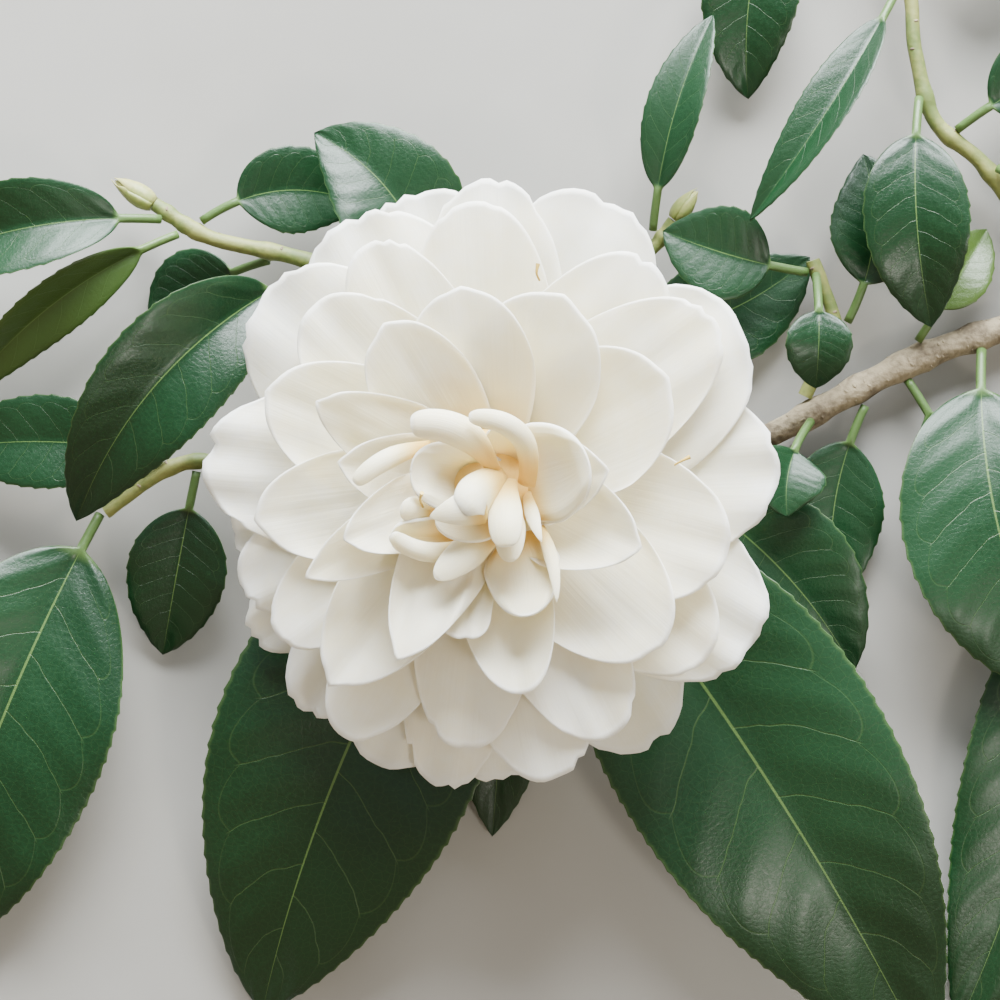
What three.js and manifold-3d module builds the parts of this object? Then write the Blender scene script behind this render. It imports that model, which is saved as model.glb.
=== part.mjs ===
// A cut camellia branch with one large formal-double white bloom, lying down.
// Millimetres, +Z up, the floor at z = 0. The bloom faces up, the cut end of the
// branch points along +X and leaves spread all round.
import * as THREE from "three";
import Module from "manifold-3d";
import { mergeVertices } from "three/addons/utils/BufferGeometryUtils.js";

const wasm = await Module();
wasm.setup();

// ---------------------------------------------------------------- driving sizes
const CENTRE = [-6, -8.8, -0.19]; // moves the layout so that the frame is at the middle of its foot
const JOIN_GAP = 0.3; // clearance where one piece is seated on another

const BLOOM_RADIUS = 50; // from the bloom's axis to the guard petals' tips
const BLOOM_FOOT = [4.6, 4, 20]; // where the petals spring from
const BLOOM_AXIS = [-0.115, -0.06, 1]; // the way the bloom faces
const PETAL_THICKNESS = 1;
const PETAL_HIDDEN_PART = 0.5; // share of a petal's length that lies inside the core

const STEM_SIDES = 8;
const STEM_STEP = 7; // length of one stretch of a stem
const LEAF_THICKNESS = 1;
const PETIOLE_LENGTH = 7;
const PETIOLE_HALF = 1; // half the width and half the depth of a leaf's stalk
const LEAF_STATIONS = 9; // stretches along a leaf
const LEAF_COLUMNS = 4; // stretches across it

// ---------------------------------------------------------------- colours
const looks = {
  bark: { color: 0x8a7a5c, roughness: 0.85 },
  green_stem: { color: 0x7c8c46, roughness: 0.7 },
  leaf: { color: 0x24502c, roughness: 0.35 },
  petal: { color: 0xf3efe8, roughness: 0.6 },
  sepal: { color: 0x9aa166, roughness: 0.7 },
  bud: { color: 0x8f9a50, roughness: 0.6 },
};
for (const key of Object.keys(looks))
  looks[key] = new THREE.MeshStandardMaterial({ ...looks[key], metalness: 0 });

// ---------------------------------------------------------------- the layout
// Each shoot: what it grows from and where, its way points, and its radius at each end.
const shoots = {
  main_stem: {
    look: "bark",
    path: [[119, 37, 2.5], [84, 27, 5], [52, 11, 5], [28, 3, 4], [6, 3.5, 4]],
    radius: [2.5, 1.8],
  },
  left_shoot: {
    look: "green_stem",
    from: "main_stem",
    at: 0.87,
    path: [[2, 18, 6], [-13, 34, 8], [-29, 42.6, 10], [-47, 47, 10], [-57, 53, 9]],
    radius: [1.5, 1.3],
  },
  lower_left_shoot: {
    look: "green_stem",
    from: "main_stem",
    at: 1,
    path: [[-13, 1, 6], [-33, 4, 8], [-51, 6.8, 9], [-66, -2, 8]],
    radius: [1.5, 1.2],
  },
  upper_shoot: {
    look: "green_stem",
    from: "main_stem",
    at: 0.72,
    path: [[21, 20, 6], [23, 36, 8], [33, 46, 9], [36, 50, 10]],
    radius: [1.4, 1.2],
  },
  right_shoot: {
    look: "green_stem",
    from: "main_stem",
    at: 0.42,
    path: [[65, 30.6, 8], [61, 43, 9]],
    radius: [1.3, 1.1],
  },
  upper_right_shoot: {
    look: "green_stem",
    from: "main_stem",
    at: 0.14,
    path: [
      [99, 48.7, 6], [92, 60, 8], [83, 68, 9], [79.4, 80.7, 9], [77.7, 93.5, 8], [68, 106, 6],
      [54, 115.5, 5],
    ],
    radius: [1.6, 1.1],
  },
  lower_right_shoot: {
    look: "green_stem",
    from: "main_stem",
    at: 0.1,
    path: [[108, 18, 4], [108, 2, 6], [105, -14, 6]],
    radius: [1.4, 1.1],
  },
};

// Each leaf: the place on its shoot, its tip, how far its middle rises above the straight
// line and bows to its left, its width, and its roll and fold in degrees.
const leaves = {
  main_stem: [
    { at: 0.88, tip: [82.7, -102, 1], arch: 14, bow: 3, width: 48, roll: 4, fold: 9 },
    { at: 0.66, tip: [68.7, -30.8, 6], arch: 5, bow: 3, width: 25, roll: 6, fold: 8 },
    { at: 0.97, tip: [3.5, -61, 2], arch: 4, bow: 0, width: 20, roll: 0, fold: 10 },
    { at: 0.43, tip: [55.7, -2.9, 17], arch: 3, bow: -2, width: 14, roll: -10, fold: 20 },
    { at: 0.36, tip: [65.8, -20, 1.5], arch: 1, bow: -3, width: 18, roll: 0, fold: 8 },
    { at: 0.3, tip: [96.8, -28.5, 2], arch: 3, bow: 3, width: 16, roll: 0, fold: 10 },
    { at: 0.2, tip: [106, -34.8, 10], arch: 10, bow: -6, width: 34, roll: 0, fold: 8 },
    { at: 0.27, tip: [93, 49, 3], arch: 3, bow: 0, width: 11, roll: 0, fold: 15 },
  ],
  left_shoot: [
    { at: 0.6, tip: [-70.7, -3.6, 12], arch: 11, bow: -5, width: 23, roll: -12, fold: 22 },
    { at: 0.68, tip: [-58.2, 31, 1.5], arch: -2, bow: -2, width: 16, roll: 0, fold: 8 },
    { at: 0.84, tip: [-19, 53, 5], arch: 2, bow: 4, width: 16, roll: 0, fold: 12 },
    { at: 0.34, tip: [-28, 65, 16], arch: 6, bow: -6, width: 23, roll: 10, fold: 14 },
    { at: 0.95, tip: [-107, 39, 4], arch: 9, bow: -3, width: 19, roll: 8, fold: 30 },
    { at: 0.88, tip: [-93, 17.8, 3], arch: 6, bow: -3, width: 12, roll: -30, fold: 25 },
  ],
  lower_left_shoot: [
    { at: 0.06, tip: [-38.3, -93, 1], arch: 14, bow: -4.3, width: 48, roll: 5, fold: 8 },
    { at: 0.73, tip: [-56.3, -28, 2], arch: 2, bow: 0, width: 18, roll: 0, fold: 10 },
    { at: 0.8, tip: [-96, 9, 5], arch: 4, bow: -2, width: 17, roll: 0, fold: 12 },
    { at: 1, tip: [-100, -86, 1], arch: 10, bow: -2, width: 40, roll: -6, fold: 12 },
  ],
  upper_shoot: [
    { at: 0.8, tip: [43, 86.5, 12], arch: 5, bow: 2, width: 11, roll: -20, fold: 22 },
    { at: 0.4, tip: [61, 44, 3.5], arch: 0, bow: -4, width: 20, roll: 0, fold: 6 },
  ],
  right_shoot: [
    { at: 0.9, tip: [61, 20, 14], arch: 6, bow: 0, width: 12, roll: 0, fold: 14 },
    { at: 0.55, tip: [70, 62, 9], arch: 2, bow: -3, width: 16, roll: 0, fold: 12 },
    { at: 0.94, tip: [34, 48, 12], arch: 2, bow: 1, width: 17, roll: 0, fold: 14 },
  ],
  upper_right_shoot: [
    { at: 0.27, tip: [116, 46, 5], arch: 5, bow: 0, width: 18, roll: 0, fold: 12 },
    { at: 0.38, tip: [117, 80, 4], arch: 5, bow: 2, width: 18, roll: 0, fold: 14 },
    { at: 0.48, tip: [82, 31, 11], arch: 7, bow: -2.5, width: 19, roll: 4, fold: 12 },
    { at: 0.7, tip: [49.2, 49.5, 17], arch: 6, bow: 1, width: 11, roll: 30, fold: 28 },
    { at: 0.97, tip: [49.8, 72.6, 4], arch: 4, bow: -3, width: 18, roll: 0, fold: 14 },
    { at: 0.78, tip: [113, 108, 3], arch: 6, bow: 2, width: 22, roll: 0, fold: 12 },
  ],
  lower_right_shoot: [
    { at: 0.8, tip: [88, -96, 1], arch: 3, bow: 4, width: 30, roll: 0, fold: 8 },
  ],
};

// The petals in rings, from the guard petals inwards. In a ring they lie one over the next
// in the order given: [direction in degrees, reach, width].
const rings = {
  guard: {
    tipHeight: [9, 17],
    footHeight: [0.5, 4],
    curl: 1.25,
    tip: { shoulder: 0.55, roundness: 2.4, fullness: 0.55 },
    petals: [
      [-147, 51, 20], [-88, 53, 24], [-58, 54, 26], [-111, 54, 24], [105, 51, 24], [68, 53, 28],
      [-99, 54.5, 20], [90, 52, 24], [119, 50, 26], [141, 50, 28], [-129, 52, 23], [-168, 46, 22],
      [-156, 47, 23], [-31, 54, 32], [4, 50, 32], [32, 51.5, 33], [176, 49.5, 28],
    ],
  },
  outer: {
    tipHeight: [18, 23],
    footHeight: [4.5, 7],
    curl: 1,
    tip: { shoulder: 0.55, roundness: 2.4, fullness: 0.6 },
    petals: [
      [92, 48, 25], [53, 47, 25], [116, 45.5, 21], [36, 48, 25], [-37, 48, 26], [-77, 52, 24],
      [-119, 50, 20], [-94, 45.5, 21], [-63, 48, 22], [134, 42, 24], [-144, 44, 20], [-15, 43, 27],
    ],
  },
  middle: {
    tipHeight: [24, 29],
    footHeight: [8, 11],
    curl: 0.7,
    tip: { shoulder: 0.5, roundness: 1.9, fullness: 0.75 },
    petals: [
      [157, 39.5, 22], [-171, 38.5, 18], [-124, 40.5, 18], [-41, 39, 22], [30, 36, 24],
      [70, 34.5, 18], [91, 33, 18], [120, 31, 16],
    ],
  },
  inner: {
    tipHeight: [30, 34],
    footHeight: [12, 16],
    curl: 0.35,
    tip: { shoulder: 0.45, roundness: 1.7, fullness: 0.8 },
    petals: [
      [152, 30, 15], [170, 23, 14], [-152, 31.5, 12], [-112, 30.5, 16], [-74, 36, 16],
      [-19, 29, 18], [8, 22, 16], [-89, 26, 9], [-158, 23, 13],
    ],
  },
};

// The heart: small hooded petals, each from its foot to its tip in the bloom's own frame,
// with its arch, its sideways bow, its width, and its wrap in degrees (below 0 it hangs
// down on both sides like a hood, above 0 it is a cup).
const heart = [
  { foot: [4.4, -0.6, 26], tip: [19, 6.6, 36], arch: -3, bow: 0, width: 16, wrap: 70 },
  { foot: [5.2, -4, 26], tip: [8.6, -20.4, 35], arch: -2, bow: 0, width: 12, wrap: 60 },
  { foot: [-1.3, -9.8, 28], tip: [-13.9, -10.8, 35], arch: -1, bow: 0, width: 8, wrap: 80 },
  { foot: [-8.3, 4, 27], tip: [-19.9, 0.9, 33], arch: 1.5, bow: 0, width: 5, wrap: -140 },
  { foot: [2.6, 2.9, 30], tip: [-9.8, 9.4, 37], arch: 2, bow: -1, width: 8, wrap: -130 },
  { foot: [7.7, 0.4, 30], tip: [1, 12.8, 37], arch: 2, bow: -2.5, width: 9, wrap: -110 },
  { foot: [3.1, -7.1, 30], tip: [-6.1, -14.6, 36], arch: 1, bow: 0, width: 7, wrap: -110 },
  { foot: [5.9, 1.4, 32], tip: [5.9, -11.2, 38], arch: 2, bow: 0, width: 7, wrap: -130 },
  { foot: [-4.2, -4.7, 30], tip: [-2.5, 6.2, 39], arch: 1, bow: 2.5, width: 11, wrap: -120 },
  { foot: [2.8, 2.8, 35], tip: [-5.9, -3.9, 40.5], arch: 1.5, bow: 0, width: 9, wrap: -130 },
  { foot: [2.8, -5.7, 32], tip: [-5.3, -5.1, 37], arch: 1, bow: 0, width: 6, wrap: -100 },
  { foot: [-7.9, -3.9, 30], tip: [-11.7, -3.6, 35], arch: 1, bow: 0, width: 5, wrap: -100 },
];

// The solid mass of closely packed petals inside the bloom, as half a section.
const coreDome = [[38, 11], [37, 15], [33, 18], [28, 21.5], [22, 25], [15, 28.5], [8, 32], [0, 33.5]];
const CORE_CLEARANCE = 0.5; // the core stays this far above the lowest petal's underside

const buds = {
  left_bud: { shoot: "left_shoot", length: 9, radius: 2.3 },
  upper_bud: { shoot: "upper_shoot", length: 7, radius: 2 },
  upper_right_bud: { shoot: "upper_right_shoot", length: 8, radius: 2 },
};

// ---------------------------------------------------------------- small tools
const vec = (p) => new THREE.Vector3(...p);
const UP = vec([0, 0, 1]);
const radians = THREE.MathUtils.degToRad;
const lerp = THREE.MathUtils.lerp;

// A closed body from a ring of vertices repeated along it, with flat ends.
function closedSweep(ringsOfPoints) {
  const sides = ringsOfPoints[0].length;
  const position = ringsOfPoints.flat().flatMap((p) => p.toArray());
  const index = [];
  for (let i = 0; i + 1 < ringsOfPoints.length; i++)
    for (let j = 0; j < sides; j++) {
      const a = i * sides + j;
      const b = i * sides + ((j + 1) % sides);
      index.push(a, b, b + sides, a, b + sides, a + sides);
    }
  for (const [start, flip] of [[0, true], [(ringsOfPoints.length - 1) * sides, false]])
    for (const [a, b, c] of stripTriangles(sides)) {
      const face = [start + a, start + b, start + c];
      index.push(...(flip ? face.reverse() : face));
    }
  const g = new THREE.BufferGeometry();
  g.setAttribute("position", new THREE.Float32BufferAttribute(position, 3));
  g.setIndex(index);
  return g;
}

// Triangles that close a ring of n vertices by zigzag, with no vertex in the middle.
function stripTriangles(n) {
  const faces = [];
  let low = 0;
  let high = n - 1;
  while (high - low > 1) {
    faces.push([low, low + 1, high]);
    low++;
    if (high - low > 1) {
      faces.push([low, high - 1, high]);
      high--;
    }
  }
  return faces;
}

// A closed plate from a grid of upper points and a grid of lower points, [row][column].
function closedPlate(upper, lower) {
  const rows = upper.length;
  const columns = upper[0].length;
  const loops = upper.map((line, i) => [...line, ...[...lower[i]].reverse()]);
  const sides = 2 * columns;
  const position = loops.flat().flatMap((p) => p.toArray());
  const index = [];
  const quad = (a, b, c, d) => index.push(a, b, c, a, c, d);
  for (let i = 0; i + 1 < rows; i++)
    for (let j = 0; j < sides; j++) {
      const a = i * sides + j;
      const b = i * sides + ((j + 1) % sides);
      quad(a, b, b + sides, a + sides);
    }
  const last = (rows - 1) * sides;
  for (let j = 0; j + 1 < columns; j++) {
    quad(j + 1, j, sides - 1 - j, sides - 2 - j);
    quad(last + j, last + j + 1, last + sides - 2 - j, last + sides - 1 - j);
  }
  const g = new THREE.BufferGeometry();
  g.setAttribute("position", new THREE.Float32BufferAttribute(position, 3));
  g.setIndex(index);
  return g;
}

// A geometry as a manifold-3d solid, turned right side out.
function solid(geometry) {
  const g = geometry.clone();
  g.deleteAttribute("normal");
  g.deleteAttribute("uv");
  const merged = mergeVertices(g, 1e-4);
  const make = (triVerts) => {
    const vertProperties = merged.attributes.position.array;
    return new wasm.Manifold(new wasm.Mesh({ numProp: 3, vertProperties, triVerts }));
  };
  const triVerts = new Uint32Array(merged.index.array);
  const made = make(triVerts);
  return made.volume() < 0 ? make(triVerts.reverse()) : made;
}

function geometryOf(manifold) {
  const mesh = manifold.getMesh();
  const g = new THREE.BufferGeometry();
  g.setAttribute("position", new THREE.Float32BufferAttribute(mesh.vertProperties, 3));
  g.setIndex([...mesh.triVerts]);
  return g;
}

// A point on the smooth line through the way points, t from 0 to 1.
function along(points, t) {
  const spans = points.length - 1;
  const x = Math.min(t * spans, spans - 1e-9);
  const i = Math.floor(x);
  const f = x - i;
  const p1 = vec(points[i]);
  const p2 = vec(points[i + 1]);
  const p0 = i > 0 ? vec(points[i - 1]) : p1.clone().multiplyScalar(2).sub(p2);
  const p3 = i + 2 <= spans ? vec(points[i + 2]) : p2.clone().multiplyScalar(2).sub(p1);
  const out = new THREE.Vector3();
  for (const k of ["x", "y", "z"]) {
    const m1 = (p2[k] - p0[k]) / 2;
    const m2 = (p3[k] - p1[k]) / 2;
    out[k] = (2 * f ** 3 - 3 * f * f + 1) * p1[k] + (f ** 3 - 2 * f * f + f) * m1
      + (-2 * f ** 3 + 3 * f * f) * p2[k] + (f ** 3 - f * f) * m2;
  }
  return out;
}

function heading(points, t) {
  const step = 1e-3;
  return along(points, Math.min(t + step, 1)).sub(along(points, Math.max(t - step, 0))).normalize();
}

// ---------------------------------------------------------------- stems
function tube(points, radius) {
  const length = points.slice(1).reduce((sum, p, i) => sum + vec(p).distanceTo(vec(points[i])), 0);
  const steps = Math.max(2, Math.round(length / STEM_STEP));
  const loops = [];
  for (let i = 0; i <= steps; i++) {
    const t = i / steps;
    const way = heading(points, t);
    const side = new THREE.Vector3().crossVectors(way, UP).normalize();
    const top = new THREE.Vector3().crossVectors(side, way);
    const r = lerp(radius[0], radius[1], t);
    const middle = along(points, t);
    const loop = [];
    for (let j = 0; j < STEM_SIDES; j++) {
      const a = (2 * Math.PI * (j + 0.5)) / STEM_SIDES;
      loop.push(middle.clone().addScaledVector(side, r * Math.cos(a)).addScaledVector(top, r * Math.sin(a)));
    }
    loops.push(loop);
  }
  return closedSweep(loops);
}

// Where a side shoot that heads for `target` is seated on its parent, clear by the gap.
function seatShoot(parent, at, target, radius) {
  const centre = along(parent.path, at);
  const way = heading(parent.path, at);
  const r = lerp(...parent.radius, at);
  const out = vec(target).sub(centre).normalize();
  const slant = out.dot(way);
  if (at === 1) return centre.addScaledVector(way, JOIN_GAP + radius * Math.sqrt(1 - slant ** 2));
  const square = out.addScaledVector(way, -slant).normalize();
  return centre.addScaledVector(square, r + JOIN_GAP + radius * Math.sqrt(Math.abs(slant)));
}

// Where a leaf's square stalk is seated on its shoot, clear by the gap.
function seatLeaf(shoot, leaf) {
  const centre = along(shoot.path, leaf.at);
  const way = heading(shoot.path, leaf.at);
  const frame = bladeFrame({ ...leaf, foot: centre.toArray() }, 0);
  const across = frame.way.clone().addScaledVector(way, -frame.way.dot(way)).normalize();
  const square = leaf.at === 1 ? way : across;
  const face = PETIOLE_HALF * (Math.abs(frame.side.dot(square)) + Math.abs(frame.top.dot(square)));
  const shell = leaf.at === 1 ? 0 : lerp(...shoot.radius, leaf.at);
  return centre.addScaledVector(square, shell + JOIN_GAP + face);
}

// ---------------------------------------------------------------- leaves
// Half the width of a blade at u, as a share of its greatest half width: u from 0 at the
// foot of the blade to 1 at its drawn-out tip.
const LEAF_SWELL = 0.62;
const LEAF_TAPER = 0.85;
const LEAF_WIDEST = LEAF_SWELL / (LEAF_SWELL + LEAF_TAPER);
const leafShape = (u) => u ** LEAF_SWELL * (1 - u) ** LEAF_TAPER
  / (LEAF_WIDEST ** LEAF_SWELL * (1 - LEAF_WIDEST) ** LEAF_TAPER);

// The frame of a bent blade at t: the midrib's point, the way along, the side and the top.
function bladeFrame(blade, t) {
  const from = vec(blade.foot);
  const to = vec(blade.tip);
  const chord = to.clone().sub(from);
  const left = new THREE.Vector3().crossVectors(UP, chord).normalize();
  const bend = from.clone().add(to).multiplyScalar(0.5)
    .addScaledVector(UP, 2 * blade.arch).addScaledVector(left, 2 * blade.bow);
  const middle = from.clone().multiplyScalar((1 - t) ** 2)
    .addScaledVector(bend, 2 * t * (1 - t)).addScaledVector(to, t * t);
  const way = bend.clone().sub(from).multiplyScalar(1 - t)
    .addScaledVector(to.clone().sub(bend), t).normalize();
  const side = new THREE.Vector3().crossVectors(way, UP).normalize()
    .applyAxisAngle(way, radians(blade.roll ?? 0));
  const top = new THREE.Vector3().crossVectors(side, way);
  return { middle, way, side, top };
}

function leafGeometry(blade) {
  const length = vec(blade.foot).distanceTo(vec(blade.tip));
  const stalk = PETIOLE_LENGTH / length;
  const fold = radians(blade.fold);
  const upper = [];
  const lower = [];
  for (let i = 0; i <= LEAF_STATIONS; i++) {
    const t = i < 2 ? i * stalk : lerp(stalk, 1, (i - 1) / (LEAF_STATIONS - 1));
    const u = Math.max(0, (t - stalk) / (1 - stalk));
    const spread = Math.max(leafShape(Math.min(u, 1)) * blade.width / 2, PETIOLE_HALF * (i > 1 ? 0.6 : 1));
    const depth = i < 2 ? PETIOLE_HALF : LEAF_THICKNESS / 2;
    const frame = bladeFrame(blade, t);
    const lines = [[], []];
    for (let j = 0; j <= LEAF_COLUMNS; j++) {
      const v = (2 * j) / LEAF_COLUMNS - 1;
      const across = i < 2 ? v * spread : v * spread * Math.cos(fold);
      const rise = i < 2 ? 0 : Math.abs(v) * spread * Math.sin(fold);
      const p = frame.middle.clone().addScaledVector(frame.side, across).addScaledVector(frame.top, rise);
      lines[0].push(p.clone().addScaledVector(frame.top, depth));
      lines[1].push(p.clone().addScaledVector(frame.top, -depth));
    }
    upper.push(lines[0]);
    lower.push(lines[1]);
  }
  return closedPlate(upper, lower);
}

// ---------------------------------------------------------------- the bloom
const bloomTop = vec(BLOOM_AXIS).normalize();
const bloomRight = new THREE.Vector3(1, 0, 0).addScaledVector(bloomTop, -bloomTop.x).normalize();
const bloomBack = new THREE.Vector3().crossVectors(bloomTop, bloomRight);
const bloomPlace = new THREE.Matrix4().makeBasis(bloomRight, bloomBack, bloomTop).setPosition(...BLOOM_FOOT);

// The height of a ring petal's surface at distance r from the axis. The same height holds
// all round the axis, so petals of different height lie one over another and never cross.
function petalHeight(petal, r) {
  const u = r / petal.reach;
  return petal.foot + (petal.top - petal.foot) * u * (1 + petal.curl * (1 - u));
}

function ringPetals() {
  const petals = [];
  for (const ring of Object.values(rings))
    ring.petals.forEach(([azimuth, reach, width], k) => {
      const share = k / (ring.petals.length - 1);
      petals.push({
        azimuth: radians(azimuth),
        reach,
        width,
        foot: lerp(...ring.footHeight, share),
        top: lerp(...ring.tipHeight, share),
        curl: ring.curl,
        tip: ring.tip,
      });
    });
  return petals;
}

const PETAL_ROWS = 3;
const PETAL_COLUMNS = 6;
const PETAL_FOOT_WIDTH = 0.3; // of the petal's width

function petalGeometry(petal) {
  const { shoulder, roundness, fullness } = petal.tip;
  const upper = [];
  const lower = [];
  for (let i = 0; i <= PETAL_ROWS; i++) {
    const v = lerp(PETAL_HIDDEN_PART, 1, i / PETAL_ROWS);
    const lines = [[], []];
    for (let j = 0; j <= PETAL_COLUMNS; j++) {
      const s = -Math.sin((Math.PI / 2) * ((2 * j) / PETAL_COLUMNS - 1));
      const end = shoulder + (1 - shoulder) * (1 - Math.abs(s) ** roundness) ** fullness;
      const out = v * end * petal.reach;
      const spread = PETAL_FOOT_WIDTH + (1 - PETAL_FOOT_WIDTH) * Math.sin((Math.PI / 2) * v);
      const across = (s * spread * petal.width) / 2;
      const x = out * Math.cos(petal.azimuth) - across * Math.sin(petal.azimuth);
      const y = out * Math.sin(petal.azimuth) + across * Math.cos(petal.azimuth);
      const z = petalHeight(petal, Math.hypot(x, y));
      lines[0].push(new THREE.Vector3(x, y, z));
      lines[1].push(new THREE.Vector3(x, y, z - PETAL_THICKNESS));
    }
    upper.push(lines[0]);
    lower.push(lines[1]);
  }
  return closedPlate(upper, lower);
}

const HEART_STATIONS = 5;
const HEART_COLUMNS = 4;
const hoodShape = (t) => Math.max(0.35, Math.sin(Math.PI * (0.2 + 0.8 * t)) ** 0.5);

function heartPetalGeometry(petal) {
  const upper = [];
  const lower = [];
  const half = radians(petal.wrap) / 2;
  for (let i = 0; i <= HEART_STATIONS; i++) {
    const t = i / HEART_STATIONS;
    const frame = bladeFrame(petal, t);
    const spread = (hoodShape(t) * petal.width) / 2;
    const bowRadius = spread / half;
    const lines = [[], []];
    for (let j = 0; j <= HEART_COLUMNS; j++) {
      const a = half * ((2 * j) / HEART_COLUMNS - 1);
      const outwards = frame.side.clone().multiplyScalar(Math.sin(a))
        .addScaledVector(frame.top, -Math.cos(a));
      const p = frame.middle.clone().addScaledVector(frame.top, bowRadius)
        .addScaledVector(outwards, bowRadius);
      lines[0].push(p.clone().addScaledVector(outwards, -PETAL_THICKNESS / 2));
      lines[1].push(p.clone().addScaledVector(outwards, PETAL_THICKNESS / 2));
    }
    upper.push(lines[0]);
    lower.push(lines[1]);
  }
  return closedPlate(upper, lower);
}

const LATHE_SEGMENTS = 32;

function turned(profile) {
  const points = profile.map(([r, z]) => new THREE.Vector2(r, z));
  return new THREE.LatheGeometry(points, LATHE_SEGMENTS).rotateX(Math.PI / 2);
}

// The underside of the lowest petal, lowered by `drop`, out to the given radii.
const undersideProfile = (radii, drop) => {
  const lowest = { ...ringPetals()[0], reach: BLOOM_RADIUS + 4 };
  return radii.map((r) => [r, petalHeight(lowest, r) - drop]);
};

function bloomGeometry() {
  const below = undersideProfile([0, 6, 13, 22, 30, 37], PETAL_THICKNESS - CORE_CLEARANCE);
  let body = solid(turned([...below, ...coreDome]));
  for (const petal of ringPetals()) body = body.add(solid(petalGeometry(petal)));
  for (const petal of heart) body = body.add(solid(heartPetalGeometry(petal)));
  return geometryOf(largestPiece(body)).applyMatrix4(bloomPlace);
}

// The outer skin of the largest piece: loose scraps go, and sealed hollows are filled.
function largestPiece(body) {
  const pieces = body.decompose();
  return pieces.reduce((best, piece) => (piece.volume() > best.volume() ? piece : best));
}

// ---------------------------------------------------------------- calyx and flower stalk
const CALYX_RADIUS = 10;
const CALYX_DEPTH = 6;
const STALK_RADIUS = 1.8;
const STALK_NECK = 3; // the length that runs straight up the bloom's axis
const STALK_AT = 0.97; // its place on the main stem

function calyxGeometry() {
  const inside = undersideProfile([CALYX_RADIUS, 5, 0], PETAL_THICKNESS - CORE_CLEARANCE + JOIN_GAP);
  const rim = inside[0][1];
  const outside = [
    [0, -CALYX_DEPTH], [STALK_RADIUS + 0.4, -CALYX_DEPTH], [5.5, -3.6], [8.6, -0.4],
    [CALYX_RADIUS + 0.2, rim - 0.7],
  ];
  return turned([...outside, ...inside]).applyMatrix4(bloomPlace);
}

function stalkGeometry() {
  const onAxis = (z) => vec([0, 0, z]).applyMatrix4(bloomPlace).toArray();
  const top = onAxis(-CALYX_DEPTH - JOIN_GAP);
  const neck = onAxis(-CALYX_DEPTH - STALK_NECK);
  const foot = seatShoot(shoots.main_stem, STALK_AT, neck, STALK_RADIUS).toArray();
  return tube([foot, neck, top], [STALK_RADIUS, STALK_RADIUS]);
}

// ---------------------------------------------------------------- buds
function budGeometry({ shoot, length, radius }) {
  const { path } = shoots[shoot];
  const way = heading(path, 1);
  const base = along(path, 1).addScaledVector(way, JOIN_GAP);
  const shape = [[0, 0], [0.55, 0], [0.95, 0.22], [1, 0.4], [0.75, 0.65], [0.35, 0.87], [0, 1]];
  const profile = shape.map(([r, z]) => new THREE.Vector2(r * radius, z * length));
  const g = new THREE.LatheGeometry(profile, 10);
  g.applyQuaternion(new THREE.Quaternion().setFromUnitVectors(vec([0, 1, 0]), way));
  return g.translate(...base.toArray());
}

// ---------------------------------------------------------------- assembly
const branch = new THREE.Group();

function addNode(name, geometry, look) {
  const tidy = geometryOf(solid(geometry)).translate(...CENTRE);
  tidy.computeVertexNormals();
  const mesh = new THREE.Mesh(tidy, looks[look]);
  mesh.name = name;
  branch.add(mesh);
}

for (const [name, shoot] of Object.entries(shoots)) {
  if (shoot.from) {
    const foot = seatShoot(shoots[shoot.from], shoot.at, shoot.path[0], shoot.radius[0]);
    shoot.path = [foot.toArray(), ...shoot.path];
  }
  addNode(name, tube(shoot.path, shoot.radius), shoot.look);
}
addNode("flower_stalk", stalkGeometry(), "green_stem");
addNode("calyx", calyxGeometry(), "sepal");
addNode("bloom", bloomGeometry(), "petal");
for (const [name, bud] of Object.entries(buds)) addNode(name, budGeometry(bud), "bud");
for (const [name, list] of Object.entries(leaves))
  list.forEach((leaf, k) => {
    const foot = seatLeaf(shoots[name], leaf);
    const place = name === "main_stem" ? "leaf_main" : `leaf_${name.replace("_shoot", "")}`;
    addNode(`${place}_${k + 1}`, leafGeometry({ ...leaf, foot: foot.toArray() }), "leaf");
  });

export default branch;
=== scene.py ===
"""A cut camellia branch with one large formal-double white bloom, dressed on its CAD frame.

The file is a small add-on: property groups hold the sizes and colours, one operator makes
each group of like pieces, and a panel in the 3D view's sidebar lists them. Run as a script, it
registers itself and calls its operators in order. Sizes are in millimetres and turned into
metres where a mesh is made. Every piece rides on the branch's one body.
"""

import math
import random
from types import SimpleNamespace

import bpy
import numpy as np
from mathutils import Matrix, Vector


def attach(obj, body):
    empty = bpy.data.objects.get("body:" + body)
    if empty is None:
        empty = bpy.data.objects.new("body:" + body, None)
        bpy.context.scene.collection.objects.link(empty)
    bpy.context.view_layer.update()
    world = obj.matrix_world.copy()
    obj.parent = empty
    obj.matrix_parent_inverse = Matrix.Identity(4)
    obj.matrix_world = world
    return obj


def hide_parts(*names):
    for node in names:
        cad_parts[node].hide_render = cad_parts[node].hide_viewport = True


bl_info = {
    "name": "Camellia branch in bloom",
    "version": (1, 0, 0),
    "blender": (4, 5, 0),
    "location": "3D view > Sidebar > Camellia",
    "description": "Dresses a cut camellia branch: petals, leaves, stems, buds, floor and light",
    "category": "Object",
}

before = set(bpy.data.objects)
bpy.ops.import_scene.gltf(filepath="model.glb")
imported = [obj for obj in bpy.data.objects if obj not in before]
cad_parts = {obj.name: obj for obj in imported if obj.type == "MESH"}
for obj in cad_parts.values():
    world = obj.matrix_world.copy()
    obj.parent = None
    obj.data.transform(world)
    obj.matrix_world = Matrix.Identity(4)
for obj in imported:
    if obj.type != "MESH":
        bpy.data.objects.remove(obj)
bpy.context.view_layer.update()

MM = 0.001
BODY = "root"

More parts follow.
